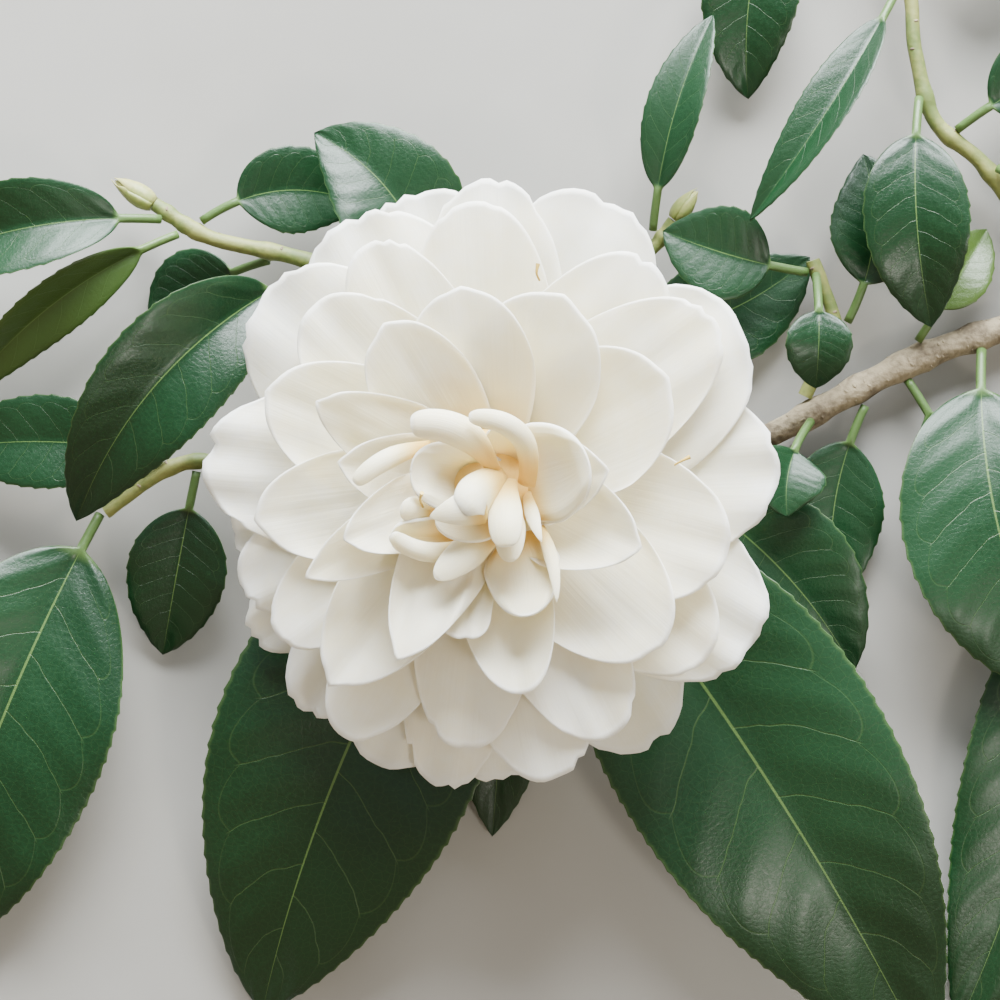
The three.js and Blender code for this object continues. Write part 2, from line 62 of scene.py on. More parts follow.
# ------------------------------------------------------------------ the layout, as in the CAD
CENTRE = Vector((-6, -8.8, -0.19))  # moves the layout to the middle of its foot
JOIN_GAP = 0.3  # air between a piece and the stem that carries it

BLOOM_FOOT = Vector((4.6, 4, 20))
BLOOM_AXIS = Vector((-0.115, -0.06, 1)).normalized()

# What each shoot grows from and where, its way points, and its radius at each end.
SHOOTS = {
    "main_stem": {
        "path": [(119, 37, 2.5), (84, 27, 5), (52, 11, 5), (28, 3, 4), (6, 3.5, 4)],
        "radius": (2.5, 1.8),
    },
    "left_shoot": {
        "from": "main_stem",
        "at": 0.87,
        "path": [(2, 18, 6), (-13, 34, 8), (-29, 42.6, 10), (-47, 47, 10), (-57, 53, 9)],
        "radius": (1.5, 1.3),
    },
    "lower_left_shoot": {
        "from": "main_stem",
        "at": 1,
        "path": [(-13, 1, 6), (-33, 4, 8), (-51, 6.8, 9), (-66, -2, 8)],
        "radius": (1.5, 1.2),
    },
    "upper_shoot": {
        "from": "main_stem",
        "at": 0.72,
        "path": [(21, 20, 6), (23, 36, 8), (33, 46, 9), (36, 50, 10)],
        "radius": (1.4, 1.2),
    },
    "right_shoot": {
        "from": "main_stem",
        "at": 0.42,
        "path": [(65, 30.6, 8), (61, 43, 9)],
        "radius": (1.3, 1.1),
    },
    "upper_right_shoot": {
        "from": "main_stem",
        "at": 0.14,
        "path": [(99, 48.7, 6), (92, 60, 8), (83, 68, 9), (79.4, 80.7, 9), (77.7, 93.5, 8),
                 (68, 106, 6), (54, 115.5, 5)],
        "radius": (1.6, 1.1),
    },
    "lower_right_shoot": {
        "from": "main_stem",
        "at": 0.1,
        "path": [(108, 18, 4), (108, 2, 6), (105, -14, 6)],
        "radius": (1.4, 1.1),
    },
}


def leaf(at, tip, arch, bow, width, roll, fold, **more):
    """A leaf's place on its shoot, its tip, how far its middle rises and bows, and its blade."""
    return dict(at=at, tip=tip, arch=arch, bow=bow, width=width, roll=roll, fold=fold, **more)


LEAVES = {
    "main_stem": [
        leaf(0.88, (82.7, -102, 1), 14, 3, 48, 4, 9),
        leaf(0.66, (68.7, -30.8, 6), 5, 3, 25, 6, 8),
        leaf(0.97, (3.5, -61, 2), 4, 0, 20, 0, 10),
        leaf(0.43, (55.7, -2.9, 17), 3, -2, 14, -10, 20),
        leaf(0.36, (65.8, -20, 1.5), 1, -3, 18, 0, 8),
        leaf(0.3, (96.8, -28.5, 2), 3, 3, 16, 0, 10),
        leaf(0.2, (106, -34.8, 10), 10, -6, 34, 0, 8),
        leaf(0.27, (93, 49, 3), 3, 0, 11, 0, 15, pale=0.5),
    ],
    "left_shoot": [
        leaf(0.6, (-70.7, -3.6, 12), 11, -5, 23, -12, 22),
        leaf(0.68, (-58.2, 31, 1.5), -2, -2, 16, 0, 8),
        leaf(0.84, (-19, 53, 5), 2, 4, 16, 0, 12),
        leaf(0.34, (-28, 65, 16), 6, -6, 23, 10, 14),
        leaf(0.95, (-107, 39, 4), 9, -3, 19, 8, 30),
        leaf(0.88, (-93, 17.8, 3), 6, -3, 12, -30, 25, pale=0.4),
    ],
    "lower_left_shoot": [
        leaf(0.06, (-38.3, -93, 1), 14, -4.3, 48, 5, 8),
        leaf(0.73, (-56.3, -28, 2), 2, 0, 18, 0, 10),
        leaf(0.8, (-96, 9, 5), 4, -2, 17, 0, 12),
        leaf(1, (-100, -86, 1), 10, -2, 40, -6, 12),
    ],
    "upper_shoot": [
        leaf(0.8, (43, 86.5, 12), 5, 2, 11, -20, 22),
        leaf(0.4, (61, 44, 3.5), 0, -4, 20, 0, 6),
    ],
    "right_shoot": [
        leaf(0.9, (61, 20, 14), 6, 0, 12, 0, 14),
        leaf(0.55, (70, 62, 9), 2, -3, 16, 0, 12),
        leaf(0.94, (34, 48, 12), 2, 1, 17, 0, 14),
    ],
    "upper_right_shoot": [
        leaf(0.27, (116, 46, 5), 5, 0, 18, 0, 12, pale=0.3),
        leaf(0.38, (117, 80, 4), 5, 2, 18, 0, 14),
        leaf(0.48, (82, 31, 11), 7, -2.5, 19, 4, 12),
        leaf(0.7, (49.2, 49.5, 17), 6, 1, 11, 30, 28),
        leaf(0.97, (49.8, 72.6, 4), 4, -3, 18, 0, 14),
        leaf(0.78, (113, 108, 3), 6, 2, 22, 0, 12),
    ],
    "lower_right_shoot": [
        leaf(0.8, (88, -96, 1), 3, 4, 30, 0, 8),
    ],
}

# The petals in rings, from the guard petals inwards; in a ring they lie one over the next in
# the order given: (direction in degrees, reach, width) and what one petal has of its own.
RINGS = {
    "guard": {
        "tip_height": (9, 17),
        "foot_height": (0.5, 4),
        "curl": 1.25,
        "tip": (0.55, 2.4, 0.55),
        "ragged": 1.0,
        "cup": -0.4,
        # Each ring inwards is made darker: painted shade for the depth of the bloom.
        "lip": -0.6,
        # Warmth, rising inwards, is how strongly the foot's own cream and the painted shade deeper
        # at the foot show.
        "ring_shade": 1.0,
        "warmth": 0.4,
        "point": 0,
        "hem": 0,
        "petals": [
            (-147, 51, 20), (-88, 53, 26), (-58, 54, 28), (-111, 54, 26), (105, 52, 32),
            (68, 53, 33), (-99, 54.5, 20), (90, 52, 26), (119, 51.5, 33), (141, 51, 34),
            (-129, 52, 23), (-168, 46, 22), (-156, 47, 23), (-31, 54, 32), (4, 50, 32),
            (32, 51.5, 33), (176, 49.5, 28),
        ],
    },
    "outer": {
        "tip_height": (18, 23),
        "foot_height": (4.5, 7),
        "curl": 1,
        "tip": (0.55, 2.4, 0.6),
        "ragged": 0.35,
        "cup": 0.6,
        "lip": 0.2,
        "ring_shade": 0.97,
        "warmth": 0.5,
        "point": 0,
        "hem": 0,
        "petals": [
            (92, 48, 25), (53, 47, 25), (116, 45.5, 21), (36, 48, 25), (-37, 48, 26),
            (-77, 52, 24), (-119, 50, 20), (-94, 45.5, 21), (-63, 48, 22), (134, 42, 24),
            (-144, 44, 20), (-15, 43, 27),
        ],
    },
    "middle": {
        "tip_height": (24, 29),
        "foot_height": (8, 11),
        "curl": 0.7,
        "tip": (0.6, 2.3, 0.62),
        "ragged": 0.0,
        "cup": 1.5,
        "lip": 0.9,
        "ring_shade": 0.93,
        "warmth": 0.6,
        "point": 0.02,
        "hem": 0,
        "petals": [
            (157, 39.5, 22), (-171, 38.5, 19), (-41, 40.5, 24), (30, 36, 25),
            (-127, 41.5, 19.5, {"tip": (0.62, 2.0, 0.72), "point": 0.05}),
            (66, 34.5, 24), (95, 33, 22), (120, 31, 18),
        ],
    },
    "inner": {
        "tip_height": (30, 34),
        "foot_height": (12, 16),
        "curl": 0.35,
        "tip": (0.5, 1.9, 0.75),
        "ragged": 0.0,
        "cup": 2.0,
        "lip": 1.1,
        "ring_shade": 0.88,
        "warmth": 0.75,
        "point": 0.03,
        "hem": 0,
        "petals": [
            (152, 30, 15), (-77.5, 35.5, 16, {"tip": (0.6, 2.2, 0.62), "point": 0}),
            (-95, 25.5, 8.5, {"tip": (0.86, 2.4, 0.5), "point": 0}),
            (170, 23, 14), (-152, 31.5, 12), (-114, 30.5, 14.8, {"hem": 1.5}), (-19, 29, 18),
            (8, 22, 16), (-158, 23, 13),
        ],
    },
}


def hood(foot, tip, arch, bow, width, wrap, **more):
    """A small petal of the heart in the bloom's own frame; wrap below 0 hangs like a hood.

    More may give its roll, how blunt its tip is, how far its rim flares, the width of its heel
    and how far its warm foot spreads up a hollow petal as painted shade.
    """
    usual = {"roll": 0, "blunt": 3.0, "lip": 0.0, "heel": 0.5, "warm": 0.0}
    return dict(usual, foot=foot, tip=tip, arch=arch, bow=bow, width=width, wrap=wrap, **more)


HEART = [
    hood((6.8, 0.8, 27.2), (18.4, 5.0, 36.3), -1.2, 0, 18, 52, lip=0.7, heel=0.8),
    hood((6.2, -8.0, 25), (8.8, -20.8, 34), -2, 0, 14, 70, lip=0.5),
    hood((-0.5, -7.2, 28), (-13.8, -7.8, 35.2), -1.5, 0.6, 9, 150,
         roll=-6, blunt=4, heel=0.8, warm=0.5),
    hood((-1.0, -8.9, 31.5), (-13.7, -7.6, 36.3), 1, 2.5, 3.8, -150, blunt=4),
    hood((-8.5, 6.6, 27), (-20.1, 0.6, 34), 2.5, -1.2, 3.8, -130, blunt=4),
    hood((4.6, 0.6, 26), (4.6, 10.6, 34.5), -1.5, 0, 9, 70, blunt=3, heel=0.6, warm=0.45),
    hood((3.0, 2.8, 32), (-10.2, 10.5, 37.5), 2.2, -3.0, 6.8, -150, blunt=5, heel=0.35),
    hood((8.2, 0.3, 31), (-0.5, 11.9, 38), 2.0, -4.7, 4.4, -150, blunt=4, heel=0.7),
    hood((3.6, -6.5, 28), (-6.4, -14.9, 36), 2, 0, 7.2, -120, blunt=2.4),
    hood((5.3, -1.9, 30), (6.1, -12.1, 35.5), 1, 0, 5.8, -70, warm=0.2),
    hood((4.8, 1.2, 31), (5.8, -9.4, 38.5), 2.5, 0, 6.4, -100, blunt=4, heel=0.6),
    hood((1.9, -1.1, 26.5), (-9.6, 2.7, 36.5), -1.8, -0.8, 13.5, 150,
         blunt=4, lip=1.1, heel=0.85, warm=0.25),
    hood((5.0, 0.9, 31), (-1.8, -4.0, 38.6), 3.2, -1.0, 9.4, -150, blunt=2.3, heel=0.75),
    hood((2.2, -2.4, 37), (-6.9, -4.5, 37.9), 1.5, 0, 7.6, -130, blunt=1.5, heel=1),
    hood((4.4, -3.6, 30), (-6.2, -5.1, 36.5), 0, 1.0, 9, 90, blunt=2.5, heel=0.7, warm=0.3),
    hood((-6.5, -4.6, 28), (-12.2, -3.3, 36), 2, 0, 5.5, -120),
    hood((8.0, -1.2, 28), (11.3, -8.8, 35), 1.5, 0, 3, -110, blunt=1.6),
    hood((9.8, -6.2, 27), (13.7, -18.8, 34.2), 1.5, 1, 2.8, -110, blunt=1.7),
]

BUDS = {
    "left_bud": dict(shoot="left_shoot", length=9, radius=2.3),
    "upper_bud": dict(shoot="upper_shoot", length=7, radius=2),
    "upper_right_bud": dict(shoot="upper_right_shoot", length=8, radius=2),
}

CALYX_DEPTH = 6
STALK_RADIUS = 1.8
STALK_NECK = 3
STALK_AT = 0.97
STALK_SWELLINGS = (0.1, 0.9)


# ------------------------------------------------------------------ shared formulas
def mix(a, b, t):
    return a + (b - a) * t


def smooth(low, high, x):
    """0 below low, 1 above high, and a smooth step between."""
    t = min(max((x - low) / (high - low), 0), 1)
    return t * t * (3 - 2 * t)


def along(points, t):
    """A point on the smooth line through the way points, t from 0 to 1."""
    spans = len(points) - 1
    x = min(t * spans, spans - 1e-9)
    i = int(x)
    f = x - i
    p1 = Vector(points[i])
    p2 = Vector(points[i + 1])
    p0 = Vector(points[i - 1]) if i > 0 else p1 * 2 - p2
    p3 = Vector(points[i + 2]) if i + 2 <= spans else p2 * 2 - p1
    m1 = (p2 - p0) / 2
    m2 = (p3 - p1) / 2
    return (
        p1 * (2 * f**3 - 3 * f * f + 1)
        + m1 * (f**3 - 2 * f * f + f)
        + p2 * (-2 * f**3 + 3 * f * f)
        + m2 * (f**3 - f * f)
    )


def heading(points, t):
    step = 1e-3
    return (along(points, min(t + step, 1)) - along(points, max(t - step, 0))).normalized()


def blade_frame(blade, t):
    """The midrib's point, the way along, the side and the top of a bent blade at t."""
    start = Vector(blade["foot"])
    end = Vector(blade["tip"])
    up = Vector((0, 0, 1))
    left = up.cross(end - start).normalized()
    bend = (start + end) / 2 + up * (2 * blade["arch"]) + left * (2 * blade["bow"])
    middle = start * (1 - t) ** 2 + bend * (2 * t * (1 - t)) + end * t * t
    way = ((bend - start) * (1 - t) + (end - bend) * t).normalized()
    side = way.cross(up).normalized()
    side.rotate(Matrix.Rotation(math.radians(blade["roll"]), 3, way))
    return middle, way, side, side.cross(way)


def seat_shoot(parent, at, target, radius):
    centre = along(parent["path"], at)
    way = heading(parent["path"], at)
    out = (Vector(target) - centre).normalized()
    slant = out.dot(way)
    if at == 1:
        return centre + way * (JOIN_GAP + radius * math.sqrt(1 - slant**2))
    square = (out - way * slant).normalized()
    shell = mix(*parent["radius"], at)
    return centre + square * (shell + JOIN_GAP + radius * math.sqrt(abs(slant)))


def seat_leaf(shoot, blade, half):
    at = blade["at"]
    centre = along(shoot["path"], at)
    way = heading(shoot["path"], at)
    _, out, side, top = blade_frame({**blade, "foot": centre}, 0)
    square = way if at == 1 else (out - way * out.dot(way)).normalized()
    face = half * (abs(side.dot(square)) + abs(top.dot(square)))
    shell = 0 if at == 1 else mix(*shoot["radius"], at)
    return centre + square * (shell + JOIN_GAP + face)


def bloom_matrix():
    right = (Vector((1, 0, 0)) - BLOOM_AXIS * BLOOM_AXIS.x).normalized()
    back = BLOOM_AXIS.cross(right)
    turn = Matrix((right, back, BLOOM_AXIS)).transposed().to_4x4()
    return Matrix.Translation(CENTRE) @ Matrix.Translation(BLOOM_FOOT) @ turn


def set_out_shoots():
    """The shoots with their seats worked out, in the order in which they grow."""
    for shoot in SHOOTS.values():
        if "from" in shoot and not shoot.get("seated"):
            path = shoot["path"]
            foot = seat_shoot(SHOOTS[shoot["from"]], shoot["at"], path[0], shoot["radius"][0])
            shoot["path"] = [tuple(foot)] + path
            shoot["seated"] = True


# ------------------------------------------------------------------ meshes
UNDERSIDE = 2  # added to v on a plate's underside
BAKE_EDGE = 0.04  # empty rim of a plate's cell in the baking map, as a share of the cell


class Plates:
    """Collects closed plates, each from an upper and a lower grid of points, in one mesh.

    Two UV maps are kept. The first, `Map`, holds each plate's own place: u along it, v across
    it, with UNDERSIDE added to v below. The second, `OFBake`, lays every plate side by side.
    """

    def __init__(self, expected):
        self.points = []
        self.faces = []
        self.map = []
        self.bake = []
        self.across = math.ceil(math.sqrt(expected * 2))
        self.down = math.ceil(expected * 2 / self.across)
        self.cell = 0

    def _cell(self):
        x = self.cell % self.across
        y = self.cell // self.across
        self.cell += 1
        return x / self.across, y / self.down

    def add(self, upper, lower, uv):
        rows = len(upper)
        columns = len(upper[0])
        base = len(self.points)
        for grid in (upper, lower):
            for line in grid:
                self.points.extend(line)
        size = rows * columns
        cells = (self._cell(), self._cell())

        def index(i, j, under):
            return base + under * size + i * columns + j

        def corner(i, j, under, bake_under):
            u, v = uv[i][j]
            x, y = cells[bake_under]
            across = mix(BAKE_EDGE, 1 - BAKE_EDGE, j / (columns - 1)) / self.across
            down = mix(BAKE_EDGE, 1 - BAKE_EDGE, i / (rows - 1)) / self.down
            return (u, v + UNDERSIDE * under), (x + across, y + down)

        def face(corners, map_under, bake_under):
            self.faces.append([index(*c) for c in corners])
            for i, j, _ in corners:
                own, bake = corner(i, j, map_under, bake_under)
                self.map.append(own)
                self.bake.append(bake)

        for i in range(rows - 1):
            for j in range(columns - 1):
                face([(i, j, 0), (i, j + 1, 0), (i + 1, j + 1, 0), (i + 1, j, 0)], 0, 0)
                face([(i + 1, j, 1), (i + 1, j + 1, 1), (i, j + 1, 1), (i, j, 1)], 1, 1)
            last = columns - 1
            face([(i, 0, 1), (i, 0, 0), (i + 1, 0, 0), (i + 1, 0, 1)], 0, 0)
            face([(i, last, 0), (i, last, 1), (i + 1, last, 1), (i + 1, last, 0)], 0, 0)
        end = rows - 1
        for j in range(columns - 1):
            face([(0, j, 1), (0, j + 1, 1), (0, j + 1, 0), (0, j, 0)], 0, 0)
            face([(end, j, 0), (end, j + 1, 0), (end, j + 1, 1), (end, j, 1)], 0, 0)

    def object(self, name, place):
        mesh = bpy.data.meshes.new(name)
        mesh.from_pydata([place @ p for p in self.points], [], self.faces)
        mesh.transform(Matrix.Scale(MM, 4))
        for title, values in (("Map", self.map), ("OFBake", self.bake)):
            layer = mesh.uv_layers.new(name=title)
            layer.data.foreach_set("uv", [c for pair in values for c in pair])
        mesh.polygons.foreach_set("use_smooth", [True] * len(mesh.polygons))
        outwards(mesh)
        return link_new(name, mesh)


def plate_grids(stations, columns, station):
    """A plate's upper and lower points and its map, one row for each station along it.

    A station gives a function that turns a place across, from -1 to 1, into an upper point, a
    lower point and a pair of the map.
    """
    grids = ([], [], [])
    for place in stations:
        spot = station(place)
        row = [spot(2 * j / columns - 1) for j in range(columns + 1)]
        for grid, values in zip(grids, zip(*row)):
            grid.append(values)
    return grids


def link_new(name, data):
    obj = bpy.data.objects.new(name, data)
    bpy.context.scene.collection.objects.link(obj)
    return obj


def outwards(mesh):
    """Turns a closed mesh right side out if its faces point inwards."""
    volume = 0
    for polygon in mesh.polygons:
        ring = [mesh.vertices[i].co for i in polygon.vertices]
        for a, b in zip(ring[1:], ring[2:]):
            volume += ring[0].dot(a.cross(b))
    if volume < 0:
        mesh.flip_normals()


def declare(obj, node):
    """Sets the piece on the branch's body and hides the CAD node that it replaces."""
    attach(obj, BODY)
    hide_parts(node)


def finish_piece(obj, look, node):
    obj.data.materials.clear()
    obj.data.materials.append(look)
    declare(obj, node)


# ------------------------------------------------------------------ node graphs
class Graph:
    """Adds nodes to a tree; a node's inputs are values or the sockets that feed them."""

    def __init__(self, tree):
        self.tree = tree

    def _set(self, socket, value):
        if isinstance(value, bpy.types.NodeSocket):
            self.tree.links.new(value, socket)
        else:
            socket.default_value = value

    def feed(self, node, **values):
        """Sets a node's named inputs, with _ for a space in a name."""
        for title, value in values.items():
            self._set(node.inputs[title.replace("_", " ")], value)

    def add(self, kind, *inputs, named=None, **settings):
        node = self.tree.nodes.new(kind)
        for key, value in settings.items():
            setattr(node, key, value)
        for key, value in (*enumerate(inputs), *(named or {}).items()):
            if value is not None:
                self._set(node.inputs[key], value)
        return node

    def math(self, operation, *inputs):
        return self.add("ShaderNodeMath", *inputs, operation=operation).outputs[0]

    def vector(self, operation, *inputs):
        return self.add("ShaderNodeVectorMath", *inputs, operation=operation).outputs[0]

    def step(self, value, low, high, to_low=0.0, to_high=1.0):
        node = self.add("ShaderNodeMapRange", value, low, high, to_low, to_high,
                        interpolation_type="SMOOTHSTEP")
        return node.outputs[0]

    def noise(self, vector, scale, detail):
        node = self.add("ShaderNodeTexNoise",
                        named=dict(Vector=vector, Scale=scale, Detail=detail))
        return node.outputs["Fac"]

    def colour(self, factor, a, b):
        node = self.add("ShaderNodeMix", data_type="RGBA", named={0: factor, 6: a, 7: b})
        return node.outputs[2]

    def laid_over(self, colour, mask, share, other):
        """The colour, with another laid over it by a share of the mask."""
        return self.colour(self.math("MULTIPLY", mask, share), colour, other)


def new_group(name, kind, inputs, outputs):
    """A node group with named inputs and outputs: (name, socket type, default)."""
    tree = bpy.data.node_groups.new(name, kind)
    for title, socket, default in inputs:
        item = tree.interface.new_socket(title, in_out="INPUT", socket_type=socket)
        if default is not None:
            item.default_value = default
    for title, socket in outputs:
        tree.interface.new_socket(title, in_out="OUTPUT", socket_type=socket)
    graph = Graph(tree)
    start = tree.nodes.new("NodeGroupInput")
    end = tree.nodes.new("NodeGroupOutput")
    return graph, start, end


SLOW_SHARE = 0.7
FINE_SHARE = 0.3
MOTTLE_EDGES = (0.38, 0.62)


def mottle_group():
    """Slow and fine variation of a natural surface, as a tint mask and a height."""
    graph, start, end = new_group(
        "Mottle", "ShaderNodeTree",
        [("Vector", "NodeSocketVector", None), ("Slow", "NodeSocketFloat", 60.0),
         ("Fine", "NodeSocketFloat", 900.0)],
        [("Tint", "NodeSocketFloat"), ("Height", "NodeSocketFloat")],
    )
    slow = graph.noise(start.outputs["Vector"], start.outputs["Slow"], 3.0)
    fine = graph.noise(start.outputs["Vector"], start.outputs["Fine"], 2.0)
    blend = graph.math("ADD", graph.math("MULTIPLY", slow, SLOW_SHARE),
                       graph.math("MULTIPLY", fine, FINE_SHARE))
    graph.feed(end, Tint=graph.step(blend, *MOTTLE_EDGES), Height=fine)
    return graph.tree


def own_map(graph, start):
    """A plate's place from its map: along, across from -1 to 1, out to either side, and under."""
    parts = graph.add("ShaderNodeSeparateXYZ", start.outputs["Map"])
    u, raised = parts.outputs[0], parts.outputs[1]
    under = graph.math("GREATER_THAN", raised, UNDERSIDE - 0.5)
    v = graph.math("SUBTRACT", raised, graph.math("MULTIPLY", under, UNDERSIDE))
    side = graph.math("MULTIPLY", graph.math("SUBTRACT", v, 0.5), 2.0)
    return u, side, graph.math("ABSOLUTE", side), under


# Side veins: their number, slant and bend forwards, and how far those of one side lag. Between
# them run loops: how far out they arch, how far they dip at a vein, and how strong they are.
VEIN_PAIRS = 8.0
VEIN_SLANT = 0.17
VEIN_BEND = 1.25
VEIN_LAG = 0.45
VEIN_WOBBLE = 0.035
VEIN_EDGES = (0.484, 0.497)
VEIN_FADE = (0.79, 0.71)
LOOP_OUT = 0.85
LOOP_DIP = 0.5
LOOP_EDGES = (0.01, 0.002)
LOOP_SHARE = 0.45
NETWORK_CELLS = (70.0, 26.0, 0.0)
NETWORK_EDGES = (0.07, 0.0)
MIDRIB_TAPER = 0.01
MIDRIB_LEAST = 0.005
MIDRIB_EDGES = (1.25, 0.6)
VEINS_START = (0.04, 0.1)
VEINS_STOP = (0.97, 0.9)
STALK_EDGES = (0.03, 0.0)
MARGIN_EDGES = (0.965, 1.0)


def leaf_pattern_group():
    """Masks of a camellia leaf from its own map: midrib, side veins, network and underside."""
    graph, start, end = new_group(
        "Leaf pattern", "ShaderNodeTree",
        [("Map", "NodeSocketVector", None)],
        [(title, "NodeSocketFloat") for title in ("Midrib", "Veins", "Network", "Under", "Margin")],
    )
    u, side, out, under = own_map(graph, start)
    lag = graph.math("MULTIPLY", graph.math("GREATER_THAN", side, 0.0), VEIN_LAG)
    wobble = graph.noise(graph.vector("MULTIPLY", start.outputs["Map"], (1.0, 1.0, 0.0)), 5.0, 2.0)
    wobble = graph.math("MULTIPLY", graph.math("SUBTRACT", wobble, 0.5), VEIN_WOBBLE)
    climb = graph.math("MULTIPLY", graph.math("POWER", out, VEIN_BEND), VEIN_SLANT)
    phase = graph.math("SUBTRACT", graph.math("ADD", u, wobble), climb)
    phase = graph.math("ADD", graph.math("MULTIPLY", phase, VEIN_PAIRS), lag)
    near = graph.math("ABSOLUTE", graph.math("SUBTRACT", graph.math("FRACT", phase), 0.5))
    lateral = graph.math("MULTIPLY", graph.step(near, *VEIN_EDGES), graph.step(out, *VEIN_FADE))
    dip = graph.math("MULTIPLY", graph.math("POWER", near, 2.0), LOOP_DIP)
    loop_at = graph.math("SUBTRACT", LOOP_OUT, dip)
    off_loop = graph.math("ABSOLUTE", graph.math("SUBTRACT", out, loop_at))
    loop = graph.math("MULTIPLY", graph.step(off_loop, *LOOP_EDGES), LOOP_SHARE)
    ends = graph.math("MULTIPLY", graph.step(u, *VEINS_START), graph.step(u, *VEINS_STOP))
    veins = graph.math("MULTIPLY", graph.math("MAXIMUM", lateral, loop), ends)
    cells = graph.add("ShaderNodeTexVoronoi", named=dict(
        Vector=graph.vector("MULTIPLY", start.outputs["Map"], NETWORK_CELLS), Scale=1.0),
        feature="DISTANCE_TO_EDGE", voronoi_dimensions="2D")
    taper = graph.math("MULTIPLY", graph.math("SUBTRACT", 1.0, u), MIDRIB_TAPER)
    width = graph.math("ADD", taper, MIDRIB_LEAST)
    midrib = graph.step(graph.math("DIVIDE", out, width), *MIDRIB_EDGES)
    midrib = graph.math("MAXIMUM", midrib, graph.step(u, *STALK_EDGES))
    graph.feed(end, Midrib=midrib, Veins=veins, Under=under,
               Network=graph.step(cells.outputs[0], *NETWORK_EDGES),
               Margin=graph.step(out, *MARGIN_EDGES))
    return graph.tree


# A petal's masks by u, from the foot at 0 to the rim at 1.
FOOT_EDGES = (0.62, 0.12)
# Where the foot darkens into painted shade, deep in the bloom.
FOOT_SHADE_EDGES = (0.4, 0.08)
# Where the rim is lightened along the end and the sides: a painted highlight.
RIM_HIGHLIGHT_EDGES = (0.955, 1.0)
SIDE_HIGHLIGHT_EDGES = (0.95, 1.0)
STREAK_SCALE = (1.6, 26.0, 0.0)


def petal_pattern_group():
    """Masks of a petal from its own map: warm foot, painted shade deeper at the foot, painted
    highlight along the rim and fine long streaks.
    """
    graph, start, end = new_group(
        "Petal pattern", "ShaderNodeTree",
        [("Map", "NodeSocketVector", None)],
        [(title, "NodeSocketFloat") for title in ("Foot", "Depth", "Rim", "Streaks")],
    )
    u, _, out, _ = own_map(graph, start)
    rim = graph.math("MAXIMUM", graph.step(u, *RIM_HIGHLIGHT_EDGES), graph.step(out, *SIDE_HIGHLIGHT_EDGES))
    drawn_out = graph.vector("MULTIPLY", start.outputs["Map"], STREAK_SCALE)
    graph.feed(end, Foot=graph.step(u, *FOOT_EDGES), Depth=graph.step(u, *FOOT_SHADE_EDGES),
               Rim=rim, Streaks=graph.noise(drawn_out, 1.0, 3.0))
    return graph.tree


# ------------------------------------------------------------------ materials
LOOKS = {}

# How strongly each mask of the leaf pattern shows, above and underneath.
LEAF_MASKS = (("Network", 0.04, 0.06), ("Veins", 0.2, 0.4), ("Midrib", 0.62, 0.8),
              ("Margin", 0.25, 0.1))
LEAF_ROUGHNESS = (0.32, 0.42)
UNDERSIDE_ROUGHER = 0.25
LEAF_MOTTLE = 22.0  # scale of the slow variation, and what each further material adds
MOTTLE_STEP = 5.0
# Painted shade: a ring deeper in the bloom is made darker and warmer.
SHADE_POWERS = (1, 1.3, 2.2)  # how soon red, green and blue fall off as a tone deepens
HEART_WARMTH = 0.8
HEART_SHADE = 0.88


def new_material(name, **sockets):
    look = bpy.data.materials.new(name)
    look.use_nodes = True
    graph = Graph(look.node_tree)
    shader = look.node_tree.nodes["Principled BSDF"]
    graph.feed(shader, **sockets)
    return look, graph, shader


def shared_group(graph, name, **inputs):
    node = graph.add("ShaderNodeGroup", node_tree=LOOKS[name])
    graph.feed(node, **inputs)
    return node.outputs


def raise_surface(graph, shader, height, strength, depth):
    """Lets a height of the given depth in millimetres catch the light."""
    bump = graph.add("ShaderNodeBump",
                     named=dict(Strength=strength, Distance=depth * MM, Height=height))
    graph.feed(shader, Normal=bump.outputs[0])


def leaf_material(name, pale, shift, colours):
    """Glossy dark green above, with pale veins; matt and yellower underneath."""
    look, graph, shader = new_material(name, IOR=1.38, Coat_Weight=0.1, Coat_Roughness=0.24)
    place = graph.add("ShaderNodeUVMap", uv_map="Map").outputs[0]
    space = graph.add("ShaderNodeTexCoord").outputs["Object"]
    pattern = shared_group(graph, "leaf_pattern", Map=place)
    mottle = shared_group(graph, "mottle", Vector=space, Slow=LEAF_MOTTLE + shift, Fine=1500.0)
    blade = graph.colour(mottle["Tint"], colours.deep, colours.fresh)
    if pale:
        blade = graph.colour(pale, blade, colours.young)
    below = colours.underside
    for mask, share, under_share in LEAF_MASKS:
        blade = graph.laid_over(blade, pattern[mask], share, colours.vein)
        below = graph.laid_over(below, pattern[mask], under_share, colours.under_vein)
    gloss = graph.step(mottle["Tint"], 0.0, 1.0, *LEAF_ROUGHNESS)
    matt = graph.math("MULTIPLY", pattern["Under"], UNDERSIDE_ROUGHER)
    graph.feed(shader, Base_Color=graph.colour(pattern["Under"], blade, below),
               Roughness=graph.math("ADD", gloss, matt))
    relief = graph.math("SUBTRACT", graph.math("MULTIPLY", mottle["Height"], 0.55),
                        graph.math("MULTIPLY", pattern["Veins"], 0.4))
    relief = graph.math("SUBTRACT", relief, graph.math("MULTIPLY", pattern["Network"], 0.08))
    raise_surface(graph, shader, relief, 0.75, 0.14)
    return look


def in_shade(colour, ring_shade):
    """The colour a little deeper and warmer: painted shade for the rings that lie deeper in the
    bloom.
    """
    return (*(part * ring_shade**power for part, power in zip(colour, SHADE_POWERS)), 1)


